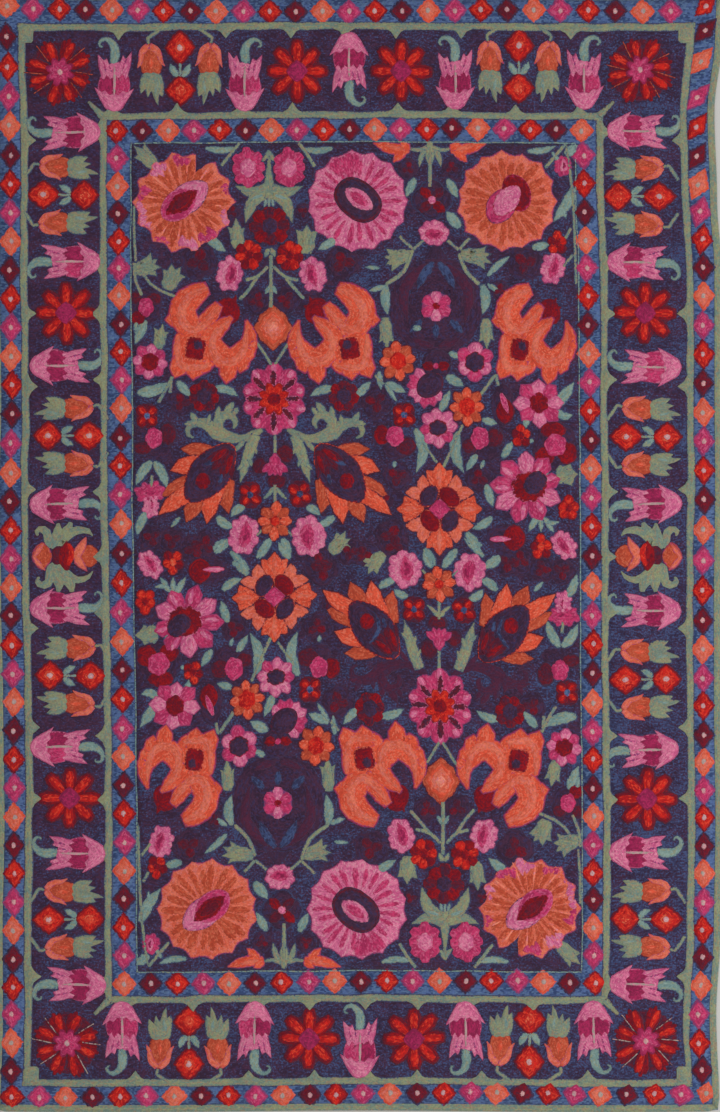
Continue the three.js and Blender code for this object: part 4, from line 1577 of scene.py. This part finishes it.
def bellBud(work, half):
    spot = work, placed(275, 466, half=half)
    for right, up, wide, tall in ((-15, 0, 7, 8), (10, 12, 8, 9), (2, -15, 9, 7)):
        lens(spot, "maroon", lobed(wide, 5, 0.12, 20, tall), 1, 20, middle=(right, up), edge=("plum", 2.0))
    ribbon(spot, "magenta", [(0, 13), (0, 4), (0, -6)], [1.0, 5.5, 7.0, 4.0], 3, edge=("mauve", 0.7),
        onto="dusk")
    for right, up in ((-12.5, -5.5), (-6, -9.5), (0, -9.5), (6, -9.5), (12.5, -5.5)):
        leaf(spot, "magenta", (right * 0.3, 1), (right, up), 3.6, 0.0, 3, ("mauve", 0.7), 1.0)
    both(lambda side: leaf(spot, "sage", (0, -19), (side * 12, -33), 2.4, side * 1.5))
    ribbon(spot, "sage", [(0, -18), (0, -39)], 1.7, 1, edge=("navy", 1.0))


# Buds and half-open flowers: dye, middle, turn, half length and half width, and the dye inside
buds = [
    ("pink", (230, 274), 80, 18, 13, "magenta"), ("pink", (313, 274), -75, 18.5, 13, "magenta"),
    ("pink", (434, 233), 0, 15, 13, "magenta"),
    ("pink", (553, 268), 74, 17.5, 11.5, "magenta"), ("magenta", (563, 166), 90, 10.5, 8.5, "pink"),
    ("pink", (564, 545), -56, 16, 10.5, "magenta"),
    ("pink", (244, 535), 80, 21, 15.5, "magenta"), ("pink", (309, 536), -86, 21, 17, "magenta"),
    ("magenta", (150, 492), 5, 16, 8.5, "magenta"),
    ("pink", (151, 505), 90, 13.5, 7.5, "pink"),
]


def bud(work, half, yarn, middle, turn, long, wide, inside):
    spot = work, placed(*middle, turn, half=half)
    lens(spot, yarn, oval(long * 0.84, wide * 0.84), 1, 24, edge=("mauve", 1.0))
    petalRing(spot, yarn, 9, long * 0.5, long, wide * 0.34, 1, 8, wide / long, 0.3, edge=("mauve", 0.8))
    leaf(spot, inside, (-long * 0.6, 0), (long * 0.72, 0), wide * 0.46, wide * 0.12, 3, None)
    leaf(spot, "cerise", (-long * 0.3, 0), (long * 0.4, 0), wide * 0.2, wide * 0.2, 4, None)


def longBud(work, half, side):  # the orange lilies beside the sprout at the top of the field
    spot = work, placed(430, 150, mirror=side < 0, half=half)
    leaf(spot, "orange", (20, -1), (57, 7), 6.0, 1.5, 1, ("mauve", 0.9))
    leaf(spot, "orange", (24, 1), (37, -12), 4.6, 0.0, 1, ("mauve", 0.9))
    leaf(spot, "orange", (20, 0), (30, 8), 4.4, 0.0, 1, ("mauve", 0.9))
    leaf(spot, "coral", (25, 0), (46, 5), 2.6, 0.5, 2, None)


# Buds held in dark petals: middle, half size, and the middles and half sizes of the dark parts
darkBuds = [
    ((146, 307), (7, 9), [(146, 307, 16, 18, "plum"), (138, 318, 7, 7, "darkRed"), (154, 299, 7, 6, "maroon"),
        (136, 298, 6, 6, "maroon")]),
    ((154, 438), (8, 10), [(168, 434, 8, 11, "maroon"), (143, 448, 9, 6, "maroon"),
        (160, 452, 14, 8, "plum")]),
    ((395, 436), (8.5, 10), [(382, 435, 8, 10, "darkRed"), (406, 446, 10, 9, "maroon"),
        (396, 450, 14, 10, "plum")]),
    ((480, 438), (8.5, 11), [(494, 438, 9, 9, "maroon"), (470, 446, 8, 7, "maroon"),
        (484, 452, 16, 10, "plum")]),
    ((555.5, 445), (10.5, 11), [(555, 446, 23, 25, "plum"), (553, 430, 13, 8, "darkRed"),
        (545, 456, 10, 9, "darkRed"), (567, 453, 10, 11, "darkRed")]),
]


def darkBud(work, half, middle, size, parts):
    spot = work, onField(half)
    for a, d, wide, tall, yarn in parts:
        dark = yarn == "plum"
        lens(spot, yarn, lobed(wide, 5, 0.1, about(work, 40), tall), 0 if dark else 1, around=20,
            middle=(a, d),
             edge=None if dark else ("plum", 1.2))
    lens(spot, "magenta", lobed(size[0] + 0.8, 5, 0.16, about(work, 40), size[1] + 0.8), 3, 20, middle=middle)


# Flowers that barely show, dark on the dark ground: middle and half size
tonals = [
    (199, 261, 15), (343, 262, 14), (525, 263, 14), (257, 301, 11), (286, 300, 11), (182, 402, 11),
    (172, 540, 11), (397, 476, 12),
    (479, 478, 11), (392, 536, 14), (152, 538, 11), (232, 212, 7), (303, 212, 7), (408, 168, 8),
    (452, 168, 8), (376, 402, 13),
    (350, 552, 11), (205, 545, 12), (320, 562, 12), (520, 560, 12), (384, 500, 8), (500, 290, 8),
]


def tonalFlower(work, half, across, down, radius):
    spot = work, placed(across, down, about(work, 40), half=half)
    lens(spot, "plum", lobed(radius * 1.3, 4, 0.16), 0, 24)
    petalRing(spot, ("maroon", "wine", "maroon"), 3, 0, radius * 0.85, radius * 0.36, 1, about(work, 60), 1.0,
        0.3)


# Four-petalled red flowers: middle, half size and the dye of the eye
redFours = [(250, 495, 11.5, 15.5, "navy"), (300, 494, 11.5, 15.5, "navy"), (147, 416, 12, 14, "denim"),
    (404, 415, 12, 14, "denim")]


def redFour(work, half, across, down, wide, tall, eye):
    spot = work, placed(across, down, about(work, 6), half=half)
    lens(spot, "maroon", lobed(wide, 4, 0.16, 45, tall), 0, 24)
    turn = math.degrees(math.atan2(tall, wide))
    petalRing(spot, "darkRed", 4, 1, (wide + tall) / 2, 5.6, 1, turn, 1.0, 0.4)
    petalRing(spot, "red", 4, 3, (wide + tall) * 0.42, 2.8, 2, turn, 1.0, 0.3)
    lens(spot, eye, oval(3.0, 3.4), 4, 8)


def orangeDiamondFlower(work, half):
    spot = work, placed(273, 327.5, half=half)
    for yarn, wide, tall, layer in (("rust", 18, 21.5, 1), ("orange", 13.5, 16, 2), ("coral", 10, 11.5, 3),
            ("peach", 5, 5.5, 4)):
        shape = oval(wide, tall, 1.4)
        lens(spot, yarn, lambda angle: shape(angle) * (1 + 0.05 * math.cos(8 * angle)), layer, 32,
             edge=("maroon", 1.0) if layer == 1 else None)


def tallDarkBuds(work, half):
    spot = work, onField(half)
    lens(spot, "plum", oval(11.5, 22, 1.8), 0, 20, middle=(503, 405))
    lens(spot, "darkRed", oval(8.5, 12.5, 1.7), 1, 16, middle=(505, 411), edge=("maroon", 1.2))
    leaf(spot, "magenta", (501, 393), (508, 413), 2.8, 0.0, 3, ("pink", 0.4))
    lens(spot, "plum", oval(20, 14, 1.8), 0, 20, middle=(506, 538))
    lens(spot, "darkRed", oval(11, 12.5, 1.7), 1, 16, middle=(514, 538), edge=("maroon", 1.2))
    leaf(spot, "pink", (490, 539), (511, 539), 2.8, 0.0, 3, ("magenta", 0.6))


# Leaves with several points: base, tip, half spread and how many points
fanLeaves = [
    ((157, 167), (133, 145), 9, 3), ((134, 271), (162, 262), 13, 4), ((167, 290), (177, 264), 14, 4),
    ((238, 249), (236, 219), 9, 3),
    ((306, 254), (307, 223), 11, 3), ((412, 254), (381, 262), 12, 4), ((460, 254), (495, 259), 12, 4),
    ((385, 317), (387, 351), 8, 3),
    ((486, 318), (487, 349), 8, 3), ((330, 553), (350, 533), 12, 4), ((556, 475), (579, 474), 13, 3),
    ((158, 349), (163, 323), 8, 3),
]
# Leaves with one point: base, tip, half-width and bend
leaves = [
    (206, 236, 226, 252, 5.4, 0), (338, 238, 318, 250, 4.8, 0), (205, 148, 239, 147, 3.8, -3),
    (333, 148, 300, 148, 3.8, 3),
    (146, 320, 135, 344, 5.2, 0), (137, 320, 135, 333, 2.4, 0), (137, 393, 171, 382, 6.4, -3),
    (177, 381, 191, 397, 4.8, 0),
    (214, 388, 238, 396, 4.8, 2.6), (356, 397, 371, 381, 4.6, 0), (334, 388, 310, 396, 4.8, -2),
    (415, 178, 406, 197, 4.8, 0),
    (447, 179, 458, 198, 4.8, 0), (527, 151, 556, 146, 3.8, -2.4), (574, 187, 553, 222, 6.2, 2.4),
    (563, 206, 566, 219, 2.4, 0),
    (532, 248, 550, 244, 4.8, 0), (449, 352, 460, 358, 3.6, 0), (440, 412, 450, 390, 4.6, 0),
    (482, 419, 497, 424, 4.2, 0),
    (385, 383, 406, 392, 4.8, 0), (385, 384, 397, 402, 2.6, 0), (379, 371, 381, 390, 3.2, 0),
    (415, 428, 416, 473, 6.2, 8),
    (458, 431, 464, 473, 6.2, -6), (477, 454, 466, 471, 4.2, 0), (484, 460, 481, 469, 2.2, 0),
    (395, 461, 394, 468, 2.2, 0),
    (528, 413, 525, 429, 3.8, 0), (529, 441, 534, 441, 2.4, 0), (553, 408, 574, 382, 6.2, -1),
    (556, 410, 573, 415, 4.6, -4),
    (540, 513, 528, 532, 3.8, 0), (541, 514, 541, 532, 3.0, 0), (542, 516, 560, 522, 2.8, -4),
    (546, 522, 554, 532, 2.6, 0),
    (245, 506, 231, 517, 4.8, -2), (217, 516, 235, 527, 5.2, -3), (213, 550, 230, 539, 5.4, 0),
    (306, 507, 320, 515, 4.6, 1.6),
    (335, 516, 316, 526, 4.6, 1.6), (271, 538, 257, 556, 4.8, 1), (282, 538, 291, 555, 4.8, 0),
    (230, 551, 250, 570, 3.8, 0),
    (232, 562, 242, 567, 3.0, 0), (147, 511, 137, 536, 5.0, -1.5), (180, 517, 171, 527, 2.6, 0),
    (380, 268, 365, 267, 2.2, 0),
    (386, 286, 369, 291, 3.0, 0), (386, 284, 388, 315, 5.4, -2), (482, 284, 482, 315, 5.4, 4),
    (487, 276, 510, 256, 3.6, 1),
    (487, 284, 500, 292, 2.8, 0), (428, 377, 425, 381, 1.8, 0), (424, 548, 436, 566, 4.8, 0),
    (457, 549, 443, 567, 4.8, 0),
    (492, 517, 472, 529, 4.8, 2), (466, 532, 481, 553, 5.4, 0), (470, 536, 478, 541, 3.0, 0),
    (500, 556, 484, 566, 4.0, 0),
    (552, 152, 560, 163, 2.4, 0), (460, 228, 446, 211, 6.0, 0), (543, 478, 549, 465, 3.6, 0),
    (502, 458, 513, 441, 4.4, 0),
    (486, 484, 493, 507, 4.8, 0), (446, 376, 464, 386, 5.6, 0), (154, 461, 167, 488, 5.4, 2),
    (152, 461, 136, 485, 5.4, -2),
    (565, 155, 578, 145, 5.4, 0),
]
# Stems: places along them, and half-width
stems = [
    ([(240, 142), (232, 152), (221, 166)], 1.7), ([(298, 142), (307, 154), (315, 167)], 1.7),
    ([(566, 143), (556, 155), (545, 168)], 1.7),
    ([(430, 150), (430, 168), (430, 188)], 2.0), ([(399, 236), (406, 243), (413, 249)], 1.5),
    ([(424, 240), (418, 245), (413, 250)], 1.5),
    ([(447, 240), (453, 245), (459, 250)], 1.5), ([(470, 238), (464, 244), (459, 250)], 1.5),
    ([(413, 249), (404, 271), (385, 285)], 2.0),
    ([(459, 253), (466, 271), (480, 285)], 2.0), ([(268, 266), (258, 276), (245, 280)], 1.7),
    ([(258, 276), (247, 292), (239, 300)], 1.7),
    ([(273, 266), (285, 277), (299, 280)], 1.7), ([(285, 277), (296, 290), (304, 299)], 1.7),
    ([(271, 254), (271, 281), (271, 309)], 2.0),
    ([(252, 337), (262, 350), (272, 366)], 1.5), ([(293, 337), (284, 350), (274, 366)], 1.5),
    ([(173, 376), (166, 389), (158, 403)], 1.7),
    ([(171, 380), (170, 393)], 1.7), ([(275, 434), (275, 455)], 1.6),
    ([(421, 442), (429, 452), (437, 463)], 1.3),
    ([(463, 424), (456, 440), (443, 468)], 1.6), ([(495, 375), (487, 386), (480, 396)], 1.8),
    ([(496, 374), (498, 386)], 1.6),
    ([(134, 262), (135, 278), (142, 296)], 1.6), ([(140, 268), (154, 287), (187, 301)], 1.5),
    ([(134, 205), (134, 232), (136, 262)], 1.3),
    ([(152, 475), (151, 487)], 1.6), ([(566, 143), (573, 200), (576, 287)], 1.4),
    ([(571, 228), (565, 239)], 1.4),
    ([(573, 254), (563, 267)], 1.4), ([(256, 536), (262, 530)], 1.2), ([(292, 536), (287, 530)], 1.2),
    ([(375, 375), (384, 385)], 1.6),
]


def fan(work, half):  # the sprout at the top of the field, with an arm to each long bud
    spot = work, onField(half)
    leaf(spot, "sage", (430, 141), (430, 168), 5.2)

    def arm(side):
        leaf(spot, "sage", (430 + side * 2, 146), (430 + side * 11, 167), 3.2, side * 2)
        ribbon(spot, "sage", [(430 + side * 2, 147), (430 + side * 11, 150), (430 + side * 20, 149)],
            [2.4, 2.2, 1.4], 1, edge=("navy", 1.2))
        leaf(spot, "sage", (270 + side * 1, 248), (270 + side * 5, 257), 2.8)
        leaf(spot, "greySage", (271, 285), (271 + side * 6, 294), 2.6)
    both(arm)


rosetteWork, palmetteWork, podWork = newWork("rosettes"), newWork("palmettes"), newWork("pods")
scrollWork, stemWork, leafWork = newWork("sageScrolls"), newWork("fieldStems"), newWork("fieldLeaves")
largeWork, smallWork, darkWork = newWork("fieldFlowers"), newWork("smallFlowers"), newWork("darkFlowers")
for half in (0, 1):
    where = onField(half)
    for name, heart in (("variegated", "variegated"), ("pink", "pink"),
            ("orange", ("orange", "variegated")[half])):
        rosette(rosetteWork, name, half)
        rosetteHeart(rosetteWork, name, half, heart)
    greatPalmette(palmetteWork, half)
    greatPalmette(palmetteWork, half, palmette["middle"])
    greatPalmette(palmetteWork, half, None, (326.5, 1), 0.92)
    vaseGround(darkWork, half)
    for mirrored in (None, pod["middle"]):
        darkPod(podWork, half, mirrored)
        fieldScroll(scrollWork, darkWork, half, mirrored)
    for worked in (crossFlower, aster, magentaRosette, orangeDiamondFlower):
        worked(largeWork, half)
    for made in tonals:
        tonalFlower(darkWork, half, *made)
    for worked in (darkCross, crescentFlower, tallDarkBuds):
        worked(darkWork, half)
    for made in darkBuds:
        darkBud(darkWork, half, *made)
    wingedLeaf(scrollWork, half)
    fan(scrollWork, half)
    bellBud(smallWork, half)
    for made in roundFlowers:
        roundFlower(smallWork, half, *made)
    for made in redFours:
        redFour(smallWork, half, *made)
    for made in buds:
        bud(smallWork, half, *made)
    both(lambda side: longBud(smallWork, half, side))
    for base, tip, wide, points in fanLeaves:
        fanLeaf((leafWork, where), "sage", base, tip, wide, points)
    for a, d, tipA, tipD, wide, bend in leaves:
        leaf((leafWork, where), "greySage", (a, d), (tipA, tipD), wide, bend)
    for spine, width in stems:
        ribbon((stemWork, where), "sage", spine, width, 1, edge=("navy", 0.9))
for work in (rosetteWork, palmetteWork, podWork, scrollWork, stemWork, leafWork, largeWork, smallWork,
        darkWork):
    finishWork(work)
print("field worked")


stage = {"floor": (196, 194, 190), "roughness": 0.9, "size": 9.0, "drop": 0.0004, "sky": 0.66, "lamp": 66.0,
    "lampSize": 3.6, "lampPlace": (2.5, -0.6, 2.4)}
floorMesh = bmesh.new()
bmesh.ops.create_grid(floorMesh, x_segments=1, y_segments=1, size=stage["size"] / 2)
# clear of the binding's underside
bmesh.ops.translate(floorMesh, verts=floorMesh.verts, vec=(0, 0, -stage["drop"]))
floorData = bpy.data.meshes.new("floor")
floorMesh.to_mesh(floorData)
floorMesh.free()
floor = inScene("floor", floorData)
floorPaint = bpy.data.materials.new("floorPaint")
floorPaint.use_nodes = True
floorShader = floorPaint.node_tree.nodes["Principled BSDF"]
floorShader.inputs["Base Color"].default_value = dye(stage["floor"])
floorShader.inputs["Roughness"].default_value = stage["roughness"]
floorData.materials.append(floorPaint)

world = bpy.data.worlds.new("studio")
bpy.context.scene.world = world
world.use_nodes = True
world.node_tree.nodes["Background"].inputs["Color"].default_value = (1.0, 1.0, 1.0, 1.0)
world.node_tree.nodes["Background"].inputs["Strength"].default_value = stage["sky"]
lampData = bpy.data.lights.new("softLamp", "AREA")
lampData.energy = stage["lamp"]
lampData.size = stage["lampSize"]
lamp = inScene("softLamp", lampData)
lamp.location = stage["lampPlace"]
lamp.rotation_euler = (-Vector(stage["lampPlace"])).to_track_quat("-Z", "Y").to_euler()

view = {"middle": (0.0052, -0.0071), "distance": 5.0, "tall": 1.8686, "sensor": 36.0}
cameraData = bpy.data.cameras.new("fromAbove")
cameraData.sensor_width = view["sensor"]
cameraData.lens = view["sensor"] * view["distance"] / view["tall"]
camera = inScene("fromAbove", cameraData)
camera.location = (view["middle"][0], view["middle"][1], rug["face"] + view["distance"])
bpy.context.scene.camera = camera
bpy.context.scene.view_settings.view_transform = "Standard"
